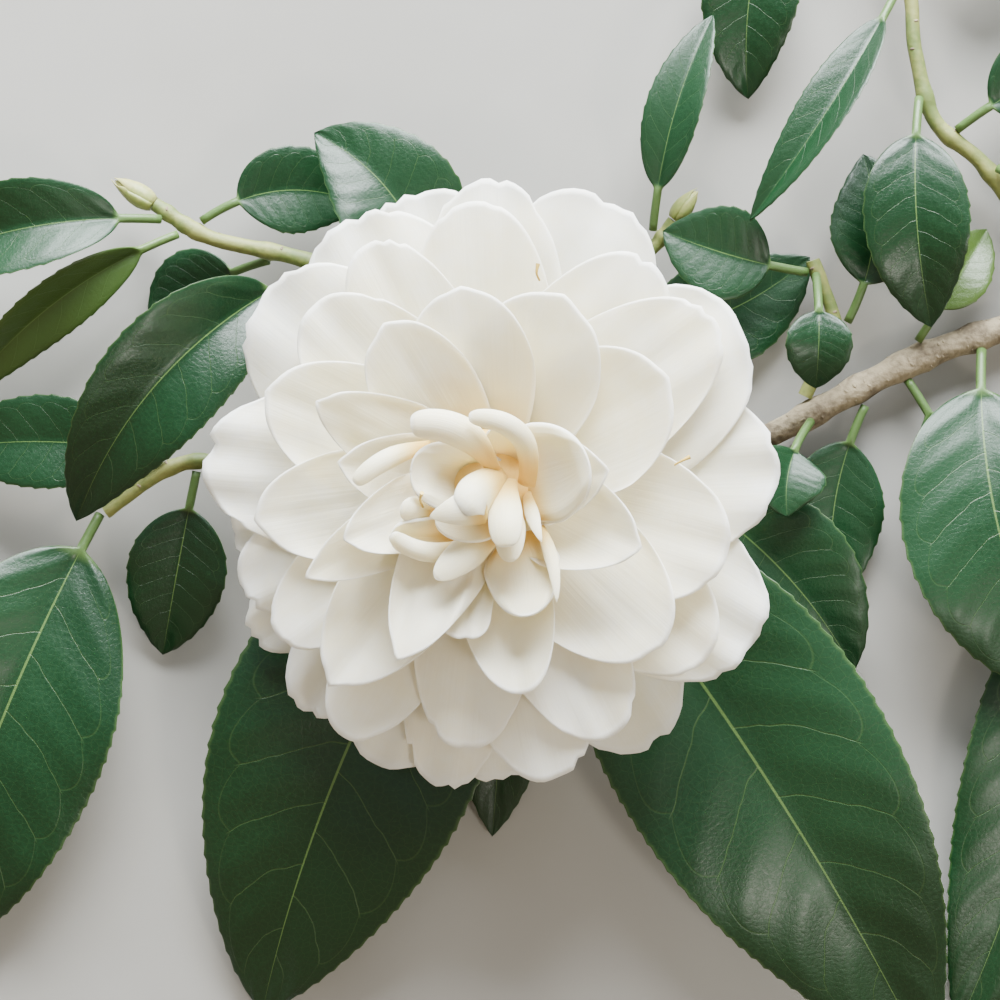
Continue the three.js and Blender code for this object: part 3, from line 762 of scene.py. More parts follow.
def petal_material(name, warmth, ring_shade, foot, deep, colours):
    """Ivory white with a warm foot, a clean rim and faint streaks, lit through; painted shade
    darkens the inner rings and deepens the foot, and a painted highlight lightens the rim.
    """
    look, graph, shader = new_material(
        name, Roughness=0.55, IOR=1.4, Subsurface_Weight=0.45,
        Subsurface_Radius=(1.0, 0.88, 0.62), Subsurface_Scale=2.6 * MM)
    place = graph.add("ShaderNodeUVMap", uv_map="Map").outputs[0]
    space = graph.add("ShaderNodeTexCoord").outputs["Object"]
    pattern = shared_group(graph, "petal_pattern", Map=place)
    mottle = shared_group(graph, "mottle", Vector=space, Slow=40.0, Fine=350.0)
    tint = in_shade(colours.ivory, ring_shade)
    for mask, share, other in ((mottle["Tint"], 0.5, in_shade(colours.rim, ring_shade)),
                               (pattern["Foot"], warmth, in_shade(foot, ring_shade)),
                               (pattern["Depth"], warmth, in_shade(deep, ring_shade)),
                               (pattern["Rim"], 0.6, colours.rim)):
        tint = graph.laid_over(tint, mask, share, other)
    graph.feed(shader, Base_Color=tint)
    relief = graph.math("ADD", graph.math("MULTIPLY", pattern["Streaks"], 0.6),
                        graph.math("MULTIPLY", mottle["Height"], 0.12))
    raise_surface(graph, shader, relief, 0.45, 0.25)
    return look


def plain_material(name, low, high, roughness, bump, slow=120.0, fine=900.0):
    """A mottled natural surface between two colours."""
    look, graph, shader = new_material(name, Roughness=roughness)
    space = graph.add("ShaderNodeTexCoord").outputs["Object"]
    mottle = shared_group(graph, "mottle", Vector=space, Slow=slow, Fine=fine)
    graph.feed(shader, Base_Color=graph.colour(mottle["Tint"], low, high))
    raise_surface(graph, shader, mottle["Height"], 0.7, bump)
    return look


# ------------------------------------------------------------------ geometry node trees
PORE_SHAPE = (1.0, 1.9, 0.45)  # along the bark, round it and out of it, as shares
GOLDEN_ANGLE = math.radians(137.5)


def stem_tree():
    """A stem along a curve with its own radii, uneven bark and small raised pores."""
    graph, start, end = new_group(
        "Stem", "GeometryNodeTree",
        [("Curve", "NodeSocketGeometry", None), ("Sides", "NodeSocketInt", 20),
         ("Unevenness", "NodeSocketFloat", 0.1 * MM), ("Grain", "NodeSocketFloat", 300.0),
         ("Pores", "NodeSocketFloat", 0.0), ("Pore size", "NodeSocketFloat", 0.25 * MM),
         ("Seed", "NodeSocketInt", 1), ("Bark", "NodeSocketMaterial", None),
         ("Pore skin", "NodeSocketMaterial", None)],
        [("Stem", "NodeSocketGeometry")],
    )
    ring = graph.add("GeometryNodeCurvePrimitiveCircle", named=dict(
        Resolution=start.outputs["Sides"], Radius=1.0))
    radius = graph.add("GeometryNodeInputRadius").outputs[0]
    skin = graph.add("GeometryNodeCurveToMesh", named={
        "Curve": start.outputs["Curve"], "Profile Curve": ring.outputs["Curve"],
        "Scale": radius, "Fill Caps": True})
    place = graph.add("GeometryNodeInputPosition").outputs[0]
    normal = graph.add("GeometryNodeInputNormal").outputs[0]
    noise = graph.noise(place, start.outputs["Grain"], 3.0)
    push = graph.math("MULTIPLY", graph.math("SUBTRACT", noise, 0.5), start.outputs["Unevenness"])
    offset = graph.add("ShaderNodeVectorMath", operation="SCALE",
                       named={"Vector": normal, "Scale": push}).outputs[0]
    rough = graph.add("GeometryNodeSetPosition", named=dict(
        Geometry=skin.outputs[0], Offset=offset))
    smoothed = graph.add("GeometryNodeSetShadeSmooth", rough.outputs[0])
    bark = graph.add("GeometryNodeSetMaterial", named=dict(
        Geometry=smoothed.outputs[0], Material=start.outputs["Bark"]))
    spots = graph.add("GeometryNodeDistributePointsOnFaces", named=dict(
        Mesh=rough.outputs[0], Density=start.outputs["Pores"], Seed=start.outputs["Seed"]))
    bead = graph.add("GeometryNodeMeshIcoSphere", named=dict(
        Radius=start.outputs["Pore size"], Subdivisions=2))
    beads = graph.add("GeometryNodeInstanceOnPoints", named=dict(
        Points=spots.outputs["Points"], Instance=bead.outputs[0],
        Rotation=spots.outputs["Rotation"], Scale=PORE_SHAPE))
    real = graph.add("GeometryNodeRealizeInstances", beads.outputs[0])
    soft = graph.add("GeometryNodeSetShadeSmooth", real.outputs[0])
    pores = graph.add("GeometryNodeSetMaterial", named=dict(
        Geometry=soft.outputs[0], Material=start.outputs["Pore skin"]))
    joined = graph.add("GeometryNodeJoinGeometry", bark.outputs[0])
    graph.tree.links.new(pores.outputs[0], joined.inputs[0])
    graph.feed(end, Stem=joined.outputs[0])
    return graph.tree


def whorl_tree():
    """Scales set round an axis in a spiral, each turned and leaned a little further."""
    graph, start, end = new_group(
        "Whorl", "GeometryNodeTree",
        [("Geometry", "NodeSocketGeometry", None), ("Scale piece", "NodeSocketObject", None),
         ("Count", "NodeSocketInt", 8), ("Turn", "NodeSocketFloat", GOLDEN_ANGLE),
         ("First height", "NodeSocketFloat", 0.0), ("Last height", "NodeSocketFloat", 1.0 * MM),
         ("First size", "NodeSocketFloat", 1.0), ("Last size", "NodeSocketFloat", 1.0),
         ("First lean", "NodeSocketFloat", 0.0), ("Last lean", "NodeSocketFloat", 0.0),
         ("Skin", "NodeSocketMaterial", None)],
        [("Whorl", "NodeSocketGeometry")],
    )
    line = graph.add("GeometryNodeMeshLine", named=dict(Count=start.outputs["Count"]))
    order = graph.add("GeometryNodeInputIndex").outputs[0]
    last = graph.math("MAXIMUM", graph.math("SUBTRACT", start.outputs["Count"], 1.0), 1.0)
    share = graph.math("DIVIDE", order, last)

    def between(first, final):
        span = graph.math("SUBTRACT", start.outputs[final], start.outputs[first])
        return graph.math("ADD", graph.math("MULTIPLY", share, span), start.outputs[first])

    height = graph.add("ShaderNodeCombineXYZ", None, None, between("First height", "Last height"))
    placed = graph.add("GeometryNodeSetPosition", named=dict(
        Geometry=line.outputs[0], Position=height.outputs[0]))
    turn = graph.math("MULTIPLY", order, start.outputs["Turn"])
    euler = graph.add("ShaderNodeCombineXYZ", None, between("First lean", "Last lean"), turn)
    piece = graph.add("GeometryNodeObjectInfo", start.outputs["Scale piece"])
    scales = graph.add("GeometryNodeInstanceOnPoints", named=dict(
        Points=placed.outputs[0], Instance=piece.outputs["Geometry"],
        Rotation=euler.outputs[0], Scale=between("First size", "Last size")))
    real = graph.add("GeometryNodeRealizeInstances", scales.outputs[0])
    soft = graph.add("GeometryNodeSetShadeSmooth", real.outputs[0])
    skin = graph.add("GeometryNodeSetMaterial", named=dict(
        Geometry=soft.outputs[0], Material=start.outputs["Skin"]))
    graph.feed(end, Whorl=skin.outputs[0])
    return graph.tree


def run_tree(name, carrier, tree, place=None, **values):
    """Runs a tree on a carrier object, keeps the result as a plain mesh object and drops both."""
    modifier = carrier.modifiers.new("tree", "NODES")
    modifier.node_group = tree
    sockets = {item.name: item.identifier
               for item in tree.interface.items_tree if item.in_out == "INPUT"}
    for title, value in values.items():
        modifier[sockets[title.replace("_", " ")]] = value
    bpy.context.view_layer.update()
    depsgraph = bpy.context.evaluated_depsgraph_get()
    mesh = bpy.data.meshes.new_from_object(carrier.evaluated_get(depsgraph), depsgraph=depsgraph)
    if not mesh.polygons:
        raise RuntimeError(f"the tree made nothing for {name}")
    if place is not None:
        mesh.transform(place)
    mesh.name = name
    obj = link_new(name, mesh)
    data = carrier.data
    bpy.data.objects.remove(carrier)
    (bpy.data.curves if isinstance(data, bpy.types.Curve) else bpy.data.meshes).remove(data)
    return obj


def curve_object(name, points, radii):
    curve = bpy.data.curves.new(name, "CURVE")
    curve.dimensions = "3D"
    spline = curve.splines.new("POLY")
    spline.points.add(len(points) - 1)
    for target, point, radius in zip(spline.points, points, radii):
        target.co = ((point + CENTRE) * MM).to_4d()
        target.radius = radius * MM
    return link_new(name, curve)


# ------------------------------------------------------------------ stems
NODE_LENGTH = 2.2  # of a stem's swelling, in steps
NODE_SWELL = 0.22  # share by which it is thicker


def stem_radii(radius, swellings, steps):
    """The taper from end to end, swollen where something grows out."""
    radii = []
    for i in range(steps + 1):
        t = i / steps
        swell = sum(math.exp(-(((t - at) * steps / NODE_LENGTH) ** 2)) for at in swellings)
        radii.append(mix(*radius, t) * (1 + NODE_SWELL * min(swell, 1)))
    return radii


def stem_length(path):
    return sum((Vector(a) - Vector(b)).length for a, b in zip(path, path[1:]))


GREEN_PORES = 0.25  # pores of a green shoot, as a share of the bark's


def make_stem(name, path, radius, swellings, tree, settings, bark, pores):
    steps = max(8, round(stem_length(path) / settings.step))
    points = [along(path, i / steps) for i in range(steps + 1)]
    carrier = curve_object(name + "_line", points, stem_radii(radius, swellings, steps))
    return run_tree(
        name + "_bark", carrier, tree, Sides=settings.sides, Unevenness=settings.unevenness * MM,
        Pores=pores, Bark=LOOKS[bark], Pore_skin=LOOKS["bark"], Seed=len(name),
    )


# ------------------------------------------------------------------ leaves
LEAF_SWELL = 0.62
LEAF_TAPER = 0.85
LEAF_WIDEST = LEAF_SWELL / (LEAF_SWELL + LEAF_TAPER)
PETIOLE_LENGTH = 7
PETIOLE_HALF = 1
PETIOLE_ROWS = 6
PETIOLE_FADE = 0.03  # stretch of the blade over which the stalk flattens
ROWS_PER_TOOTH = 5
FEWEST_ROWS = 40
MOST_ROWS = 150
LEAF_TIP = (0.97, 0.02)  # from where the tip tapers freely, and half its last width
LEAST_BLADE = (0.95, 0.55)  # least half width and its loss along the blade, in stalk halves
STALK_FLATNESS = 0.92

# A margin's teeth: how hooked, where in its pitch one drops, where they set in and fade out,
# and how far in from the margin they reach.
TOOTH_HOOK = 1.6
TOOTH_DROP = 0.86
TEETH_START = (0.16, 0.3)
TEETH_STOP = (0.93, 0.99)
TOOTH_ROOT = 0.86

# A blade's relief across: the softness of its fold, the droop of its margin, the half width
# that takes the whole wave, the swellings between veins, and the midrib's ridge and groove.
FOLD_SOFTNESS = (0.004, 0.063)
MARGIN_DROOP = 0.05
WAVE_HALF = 12
PUCKER_SQUARE = 0.05
PUCKER_START = (0.02, 0.3)
PUCKER_STOP = (0.75, 0.95)
SECTION_POWERS = (2, 14)  # of the round stalk and of the flat blade
THIN_MARGIN = 0.25
RIDGE_HEIGHT = 0.75
RIDGE_HALF = 0.9
RIDGE_TAPER = 0.8
GROOVE_SHARE = 0.18


def leaf_shape(u):
    """Half the width of a leaf at u, as a share of its greatest."""
    peak = LEAF_WIDEST**LEAF_SWELL * (1 - LEAF_WIDEST) ** LEAF_TAPER
    return u**LEAF_SWELL * (1 - u) ** LEAF_TAPER / peak


def tooth(length, u, pitch, depth):
    """How far a forward-pointing tooth stands out of the margin at u."""
    f = (length * u / pitch) % 1
    rise = f**TOOTH_HOOK * (1 - smooth(TOOTH_DROP, 1, f))
    return depth * rise * smooth(*TEETH_START, u) * (1 - smooth(*TEETH_STOP, u))


def make_leaf(name, blade, settings, rng):
    length = (Vector(blade["foot"]) - Vector(blade["tip"])).length
    stalk = PETIOLE_LENGTH / length
    fold = math.radians(blade["fold"])
    rows = int(min(max(length / settings.tooth_pitch * ROWS_PER_TOOTH, FEWEST_ROWS), MOST_ROWS))
    phases = [rng.uniform(0, 1) for _ in range(4)]
    waves = rng.uniform(1.6, 2.6)
    share = min(blade["width"] / settings.broad, 1)
    tooth_depth = settings.tooth_depth * share**0.4
    stalk_half = PETIOLE_HALF * mix(0.75, 1, share)

    def station(place):
        t, u = place
        middle, _, side, top = blade_frame(blade, t)
        broad = smooth(0, PETIOLE_FADE, u)
        spread = leaf_shape(u) * blade["width"] / 2
        if u > LEAF_TIP[0]:
            spread += LEAF_TIP[1]
        else:
            spread = max(spread, stalk_half * (LEAST_BLADE[0] - LEAST_BLADE[1] * u))
        depth = mix(stalk_half * STALK_FLATNESS, settings.thickness / 2, broad)

        def spot(x):
            v = math.sin(math.pi / 2 * x)
            out = abs(v)
            stand = tooth(length, u, settings.tooth_pitch, tooth_depth) * smooth(TOOTH_ROOT, 1, out)
            reach = spread * v + math.copysign(stand, v) * broad
            soft = math.sqrt(out * out + FOLD_SOFTNESS[0]) - FOLD_SOFTNESS[1]
            rise = broad * soft * spread * math.sin(fold)
            rise -= broad * MARGIN_DROOP * spread * out**4
            wave = math.sin(2 * math.pi * (waves * u + phases[0 if v < 0 else 1]))
            rise += broad * settings.wave * share * wave * out**3 * min(1, spread / WAVE_HALF)
            lag = VEIN_LAG if v > 0 else 0
            groove = (VEIN_PAIRS * (u - VEIN_SLANT * out**VEIN_BEND) + lag) % 1
            pucker = math.exp(-((groove - 0.5) ** 2 / PUCKER_SQUARE))
            swell = smooth(*PUCKER_START, out) * (1 - smooth(*PUCKER_STOP, out))
            rise += broad * settings.pucker * share**1.5 * pucker * swell
            across = reach * mix(1, math.cos(fold), broad)
            point = middle + side * across + top * rise
            body = math.sqrt(max(0, 1 - out ** mix(*SECTION_POWERS, broad)))
            thick = depth * max(body, THIN_MARGIN * broad)
            ridge = broad * RIDGE_HEIGHT * math.exp(-((reach / RIDGE_HALF) ** 2))
            ridge = ridge * (1 - RIDGE_TAPER * u) * stalk_half
            return (point + top * (thick - GROOVE_SHARE * ridge), point - top * (thick + ridge),
                    (u, (v + 1) / 2))

        return spot

    places = [(stalk * i / PETIOLE_ROWS, 0) for i in range(PETIOLE_ROWS)]
    places += [(mix(stalk, 1, i / rows), i / rows) for i in range(rows + 1)]
    plates = Plates(1)
    plates.add(*plate_grids(places, settings.columns, station))
    return plates.object(name + "_blade", Matrix.Translation(CENTRE))


# ------------------------------------------------------------------ the bloom
class Drape:
    """The top of what is already laid round the bloom's axis, on a square grid of heights."""

    EMPTY = -1e3
    HEART_RADIUS = 9  # inside it nothing is lifted
    FADE = 6  # from there to where the lift is whole
    KEPT = 0.93  # share of a row's lift that the next row outwards keeps
    SPREAD_TIMES = 3
    SOFTEN_TIMES = 5
    FILL = 3  # points laid for each of a surface's own, each way

    def __init__(self, reach=62, cell=0.8):
        self.reach = reach
        self.cell = cell
        self.size = int(2 * reach / cell) + 1
        self.top = np.full((self.size, self.size), self.EMPTY)

    def _index(self, a):
        return np.clip(np.rint((a + self.reach) / self.cell).astype(int), 0, self.size - 1)

    def lift(self, x, y, z, gap):
        """How far a surface has to rise to lie on what is under it, evened out."""
        near = self.top
        for axis in (0, 1):
            near = np.maximum(near, np.maximum(np.roll(near, 1, axis), np.roll(near, -1, axis)))
        rise = np.maximum(near[self._index(x), self._index(y)] + gap - z, 0)
        rise *= np.clip((np.hypot(x, y) - self.HEART_RADIUS) / self.FADE, 0, 1)
        for i in range(1, len(rise)):
            rise[i] = np.maximum(rise[i], self.KEPT * rise[i - 1])
        for _ in range(self.SPREAD_TIMES):
            rise = neighbours(rise, np.maximum)
        for _ in range(self.SOFTEN_TIMES):
            rise = neighbours(rise, np.add) / 9
        return rise

    def cover(self, x, y, z):
        """Lays a surface on top, filled in between its points."""
        x, y, z = (between_points(a, self.FILL) for a in (x, y, z))
        np.maximum.at(self.top, (self._index(x), self._index(y)), z)


def neighbours(grid, combine):
    """Combines each value of a grid with its eight neighbours."""
    wide = np.pad(grid, 1, mode="edge")
    total = None
    for i in range(3):
        for j in range(3):
            part = wide[i : i + grid.shape[0], j : j + grid.shape[1]]
            total = part if total is None else combine(total, part)
    return total


def between_points(grid, times):
    """A grid with more points between its own, in straight lines."""
    for axis in (0, 1):
        count = grid.shape[axis]
        at = np.linspace(0, count - 1, (count - 1) * times + 1)
        low = np.minimum(at.astype(int), count - 2)
        share = at - low
        share = share[:, None] if axis == 0 else share[None, :]
        grid = np.take(grid, low, axis) * (1 - share) + np.take(grid, low + 1, axis) * share
    return grid


def smooth_all(low, high, x):
    t = np.clip((x - low) / (high - low), 0, 1)
    return t * t * (3 - 2 * t)


def ring_petals(ring):
    petals = []
    last = len(ring["petals"]) - 1
    for k, (azimuth, reach, width, *own) in enumerate(ring["petals"]):
        petals.append(SimpleNamespace(**{
            **ring, **(own[0] if own else {}),
            "azimuth": math.radians(azimuth), "reach": reach, "width": width,
            "foot": mix(*ring["foot_height"], k / last), "top": mix(*ring["tip_height"], k / last),
        }))
    return petals


# A ring petal's plate starts a little out from the bloom's axis, its rows lie closer towards
# the rim, and it is narrower and thicker at its foot.
PETAL_START = 0.1
ROW_POWER = 0.85
PETAL_FOOT_WIDTH = 0.3
PETAL_FOOT_THICKNESS = 1.5

# Places and half widths across a petal, from -1 to 1, and stretches along it, from 0 to 1.
POINT_HALF = 0.14
LIP_START = 0.72
LIP_DROP = 0.4
HEM_AT = 0.8
HEM_HALF = 0.17
HEM_START = (0.25, 0.5)
CREASE_DEPTH = 0.3
CREASE_HALF = 0.13
CREASE_START = (0.3, 0.7)
SWELL_LONG = 0.16
SWELL_WIDE = 0.3
SWELLS = 5
LEAST_RUFFLE = 0.25
RIM_START = 0.94
SIDE_RIM_START = 0.95
RIM_THINNER = 0.55
TEARS = 8  # of the most ragged rim


def rim_notches(rng, ragged):
    """A rim's small tears and scallops as (place, half width, depth)."""
    notches = [(rng.uniform(-0.85, 0.85), rng.uniform(0.02, 0.05), rng.uniform(0.006, 0.024))
               for _ in range(round(ragged * TEARS))]
    notches.append((rng.uniform(-0.6, 0.6), rng.uniform(0.12, 0.3), rng.uniform(0.0, 0.02)))
    return notches


def bell(x, at, half):
    """1 at a place, falling off softly to either side."""
    return np.exp(-(((x - at) / half) ** 2))


def petal_grid(petal, sizes, rng, drape):
    """A ring petal as a plate's two grids, laid on the petals that are under it."""
    shoulder, roundness, fullness = petal.tip
    notches = rim_notches(rng, petal.ragged)
    cup = petal.cup * rng.uniform(0.6, 1.3)
    lip = petal.lip * rng.uniform(0.3, 1.5)
    lean = rng.uniform(-0.5, 0.5)
    phase = rng.uniform(0, 2 * math.pi)
    beat = rng.uniform(2.2, 3.8)
    swells = [(rng.uniform(0.35, 0.9), rng.uniform(-0.8, 0.8), rng.uniform(-1, 1))
              for _ in range(SWELLS)]
    x = np.linspace(-1, 1, sizes.columns + 1)[None, :]
    rows = np.linspace(0, 1, sizes.rows + 1)[:, None]
    v = PETAL_START + (1 - PETAL_START) * rows**ROW_POWER
    s = -np.sin(math.pi / 2 * x)
    end = shoulder + (1 - shoulder) * np.maximum(0, 1 - np.abs(s) ** roundness) ** fullness
    end = end + petal.point * bell(s, 0, POINT_HALF)
    torn = sum(depth * bell(s, at, half) for at, half, depth in notches)
    out = v * (end - v**6 * torn) * petal.reach
    across = s * mix(PETAL_FOOT_WIDTH, 1, np.sin(math.pi / 2 * v)) * petal.width / 2
    px = out * math.cos(petal.azimuth) - across * math.sin(petal.azimuth)
    py = out * math.sin(petal.azimuth) + across * math.cos(petal.azimuth)
    u = np.hypot(px, py) / petal.reach
    z = petal.foot + (petal.top - petal.foot) * u * (1 + petal.curl * (1 - u))
    z = z + (cup * s * s + lean * s) * v**2
    z = z + lip * smooth_all(LIP_START, 1, v) ** 2 * (1 - LIP_DROP * s * s)
    z = z + petal.hem * bell(s, HEM_AT, HEM_HALF) * smooth_all(*HEM_START, v)
    waves = np.sin(beat * math.pi * s + phase)
    z = z + sizes.ruffle * (LEAST_RUFFLE + petal.ragged) * waves * v**5
    z = z - CREASE_DEPTH * bell(s, 0, CREASE_HALF) * smooth_all(*CREASE_START, v)
    for at_v, at_s, height in swells:
        far = ((v - at_v) / SWELL_LONG) ** 2 + ((s - at_s) / SWELL_WIDE) ** 2
        z = z + sizes.swell * height * np.exp(-far)
    z = z + drape.lift(px, py, z, sizes.thickness + sizes.gap)
    drape.cover(px, py, z)
    rim = np.maximum(smooth_all(RIM_START, 1, v), smooth_all(SIDE_RIM_START, 1, np.abs(x)))
    thick = sizes.thickness * mix(PETAL_FOOT_THICKNESS, 1, v) * (1 - RIM_THINNER * rim)
    return as_points(px, py, z), as_points(px, py, z - thick), as_pairs(v, (1 - s) / 2)


def as_points(x, y, z):
    """Three arrays as a grid of points."""
    x, y, z = np.broadcast_arrays(x, y, z)
    return [[Vector(p) for p in zip(*line)] for line in zip(x, y, z)]


def as_pairs(u, v):
    u, v = np.broadcast_arrays(u, v)
    return [list(zip(*line)) for line in zip(u.tolist(), v.tolist())]


# A heart petal: where its heel reaches its width, its least width, and along and across it
# where its rim starts to flare and to thin.
HEEL_END = 0.5
HOOD_LEAST = 0.03
FLARE_START = (0.82, 0.72)
THIN_START = (0.95, 0.93)
HOOD_RIM_THICKNESS = 0.55


def hood_shape(petal, t):
    """A heart petal's width at t: narrow at its foot, with a blunt or a pointed tip."""
    foot = mix(petal["heel"], 1, smooth(0, HEEL_END, t))
    return foot * max(1 - t ** petal["blunt"], 0) ** (1.15 / petal["blunt"] + 0.05)


def rim_share(starts, t, x):
    """How near a place is to a plate's rim, from 0 at the starts along and across to 1."""
    return max(smooth(starts[0], 1, t), smooth(starts[1], 1, abs(x)))


def hood_grid(petal, sizes):
    """A heart petal as a plate's two grids: a strip wrapped round its own length."""
    bow = petal["width"] / 2 / (math.radians(petal["wrap"]) / 2)

    def station(t):
        middle, _, side, top = blade_frame(petal, t)
        spread = max(hood_shape(petal, t), HOOD_LEAST) * petal["width"] / 2

        def spot(x):
            angle = spread / bow * x
            outward = side * math.sin(angle) - top * math.cos(angle)
            flare = petal["lip"] * rim_share(FLARE_START, t, x) ** 2
            point = middle + top * bow + outward * (bow + flare)
            thin = mix(1, HOOD_RIM_THICKNESS, rim_share(THIN_START, t, x))
            thick = sizes.heart_thickness / 2 * thin
            # The map is drawn towards the foot, so a hollow petal's warm foot, painted shade,
            # reaches further up.
            return (point - outward * thick, point + outward * thick,
                    (t * (1 - petal["warm"]), (x + 1) / 2))

        return spot

    rows = [math.sin(math.pi / 2 * i / sizes.rows) for i in range(sizes.rows + 1)]
    return plate_grids(rows, sizes.columns, station)


# ------------------------------------------------------------------ sepals and bud scales
# A sepal in millimetres: the radius at its foot, how far it spreads and how far it rises; then
# half of the angle that it takes round the calyx, and the same for a bud's scale.
SEPAL_FOOT = 2.4
SEPAL_SPREAD = 7.8
SEPAL_RISE = 8.9
SEPAL_HALF = math.radians(46)
BUD_SCALE_HALF = math.radians(85)
LEAST_HALF = 0.002  # keeps a tip from closing to a point
SCALE_ROWS = 12
SCALE_COLUMNS = 10
SCALE_RIM = (0.8, 0.8)
RIM_THINNING = 0.3


def sepal_outline(t):
    """Radius, height and half angle of a sepal at t, from the stalk to its round tip."""
    half = SEPAL_HALF * max(1 - t**4, LEAST_HALF) ** 0.5
    return SEPAL_FOOT + SEPAL_SPREAD * t, SEPAL_RISE * t**1.6, half


def bud_outline(height, radius):
    """The same for a bud's scale, which closes in to the bud's point."""
    def outline(t):
        bulge = radius * (0.6 + 0.5 * math.sin(math.pi * t**0.8) - 0.55 * t)
        return bulge, height * t, BUD_SCALE_HALF * max(1 - t**3, LEAST_HALF) ** 0.6

    return outline


def scale_plate(name, outline, thickness):
    """One scale as a curved plate round the upright axis, facing along +X."""
    def station(t):
        radius, height, half = outline(t)
        up = Vector((0, 0, height))

        def spot(x):
            ray = Vector((math.cos(half * x), math.sin(half * x), 0))
            thick = thickness * (0.5 - RIM_THINNING * rim_share(SCALE_RIM, t, x))
            return ray * (radius + thick) + up, ray * (radius - thick) + up, (t, (x + 1) / 2)

        return spot

    rows = [i / SCALE_ROWS for i in range(SCALE_ROWS + 1)]
    plates = Plates(1)
    plates.add(*plate_grids(rows, SCALE_COLUMNS, station))
    return plates.object(name, Matrix.Identity(4))


def run_whorl(name, scale, place, look, number, values):
    """Sets copies of a scale in a spiral, then moves the whorl to its place."""
    carrier = link_new(name + "_carrier", bpy.data.meshes.new(name + "_carrier"))
    at = place.copy()
    at.translation = at.translation * MM
    inputs = {"Scale piece": scale, "Count": number, "Skin": LOOKS[look], **values}
    whorl = run_tree(name, carrier, whorl_tree(), at, **inputs)
    data = scale.data
    bpy.data.objects.remove(scale)
    bpy.data.meshes.remove(data)
    for layer in [item.name for item in whorl.data.uv_layers]:
        whorl.data.uv_layers.remove(whorl.data.uv_layers[layer])
    return whorl


# Turned cores as (radius, height): the heart's in the bloom's own frame, the calyx's from its
# foot, and a bud's as shares of its radius and length.
HEART_CORE = [(0, 20), (6, 20), (9, 23), (9.5, 26), (8, 28.5), (5, 30), (2, 30.8), (0, 31)]
CALYX_CUP = [(0, 0.2), (2.1, 0.2), (5, 2.6), (7.8, 5.4), (9, 7.4), (6, 6.6), (0, 5)]
BUD_SPINDLE = [(0, 0), (0.6, 0), (0.85, 0.3), (0.5, 0.7), (0, 0.93)]

# Stray stamens in the bloom's own frame, each by three points.
STAMENS = [
    [(9.9, 34.4, 25.6), (9.5, 35.6, 26.4), (9.7, 37.2, 26.2)],
    [(32.6, 3.6, 25.4), (33.8, 4.3, 26.2), (35.2, 5.0, 25.9)],
    [(-8.7, -3.2, 34), (-8.8, -1.9, 36.6), (-8.3, -0.6, 38)],
]
STAMEN_STEPS = 8
STAMEN_TAPER = (0.6, 1.3)  # share of its thickness at its foot and at its head


def lathe_grid(profile, segments):
    """A turned solid as a mesh, from (radius, height) pairs that start and end on the axis."""
    points = []
    faces = []
    for r, z in profile[1:-1]:
        for k in range(segments):
            a = 2 * math.pi * k / segments
            points.append(Vector((r * math.cos(a), r * math.sin(a), z)))
    low = len(points)
    points.append(Vector((0, 0, profile[0][1])))
    points.append(Vector((0, 0, profile[-1][1])))
    rows = len(profile) - 2
    for k in range(segments):
        n = (k + 1) % segments
        faces.append([low, n, k])
        for i in range(rows - 1):
            at, above = i * segments, (i + 1) * segments
            faces.append([at + k, at + n, above + n, above + k])
        top = (rows - 1) * segments
        faces.append([top + k, top + n, low + 1])
    return points, faces


def mesh_object(name, points, faces, place):
    mesh = bpy.data.meshes.new(name)
    mesh.from_pydata([place @ p * MM for p in points], [], faces)
    mesh.polygons.foreach_set("use_smooth", [True] * len(mesh.polygons))
    outwards(mesh)
    return link_new(name, mesh)


# ------------------------------------------------------------------ settings
def length(name, description, default):
    """A length property with its default given in millimetres."""
    return bpy.props.FloatProperty(
        name=name, description=description, default=default * MM, unit="LENGTH", precision=4)


def count(name, description, default):
    return bpy.props.IntProperty(name=name, description=description, default=default, min=1)


def colour(name, *default):
    return bpy.props.FloatVectorProperty(
        name=name, description=f"Colour of the {name.lower()}", default=(*default, 1),
        size=4, subtype="COLOR", min=0, max=1)


def in_mm(group):
    """A property group's values: its lengths in millimetres, its colours as tuples."""
    values = {}
    for prop in group.bl_rna.properties:
        if prop.identifier not in ("rna_type", "name"):
            value = getattr(group, prop.identifier)
            if prop.subtype == "COLOR":
                value = tuple(value)
            elif getattr(prop, "unit", "NONE") == "LENGTH":
                value = value / MM
            values[prop.identifier] = value
    return SimpleNamespace(**values)


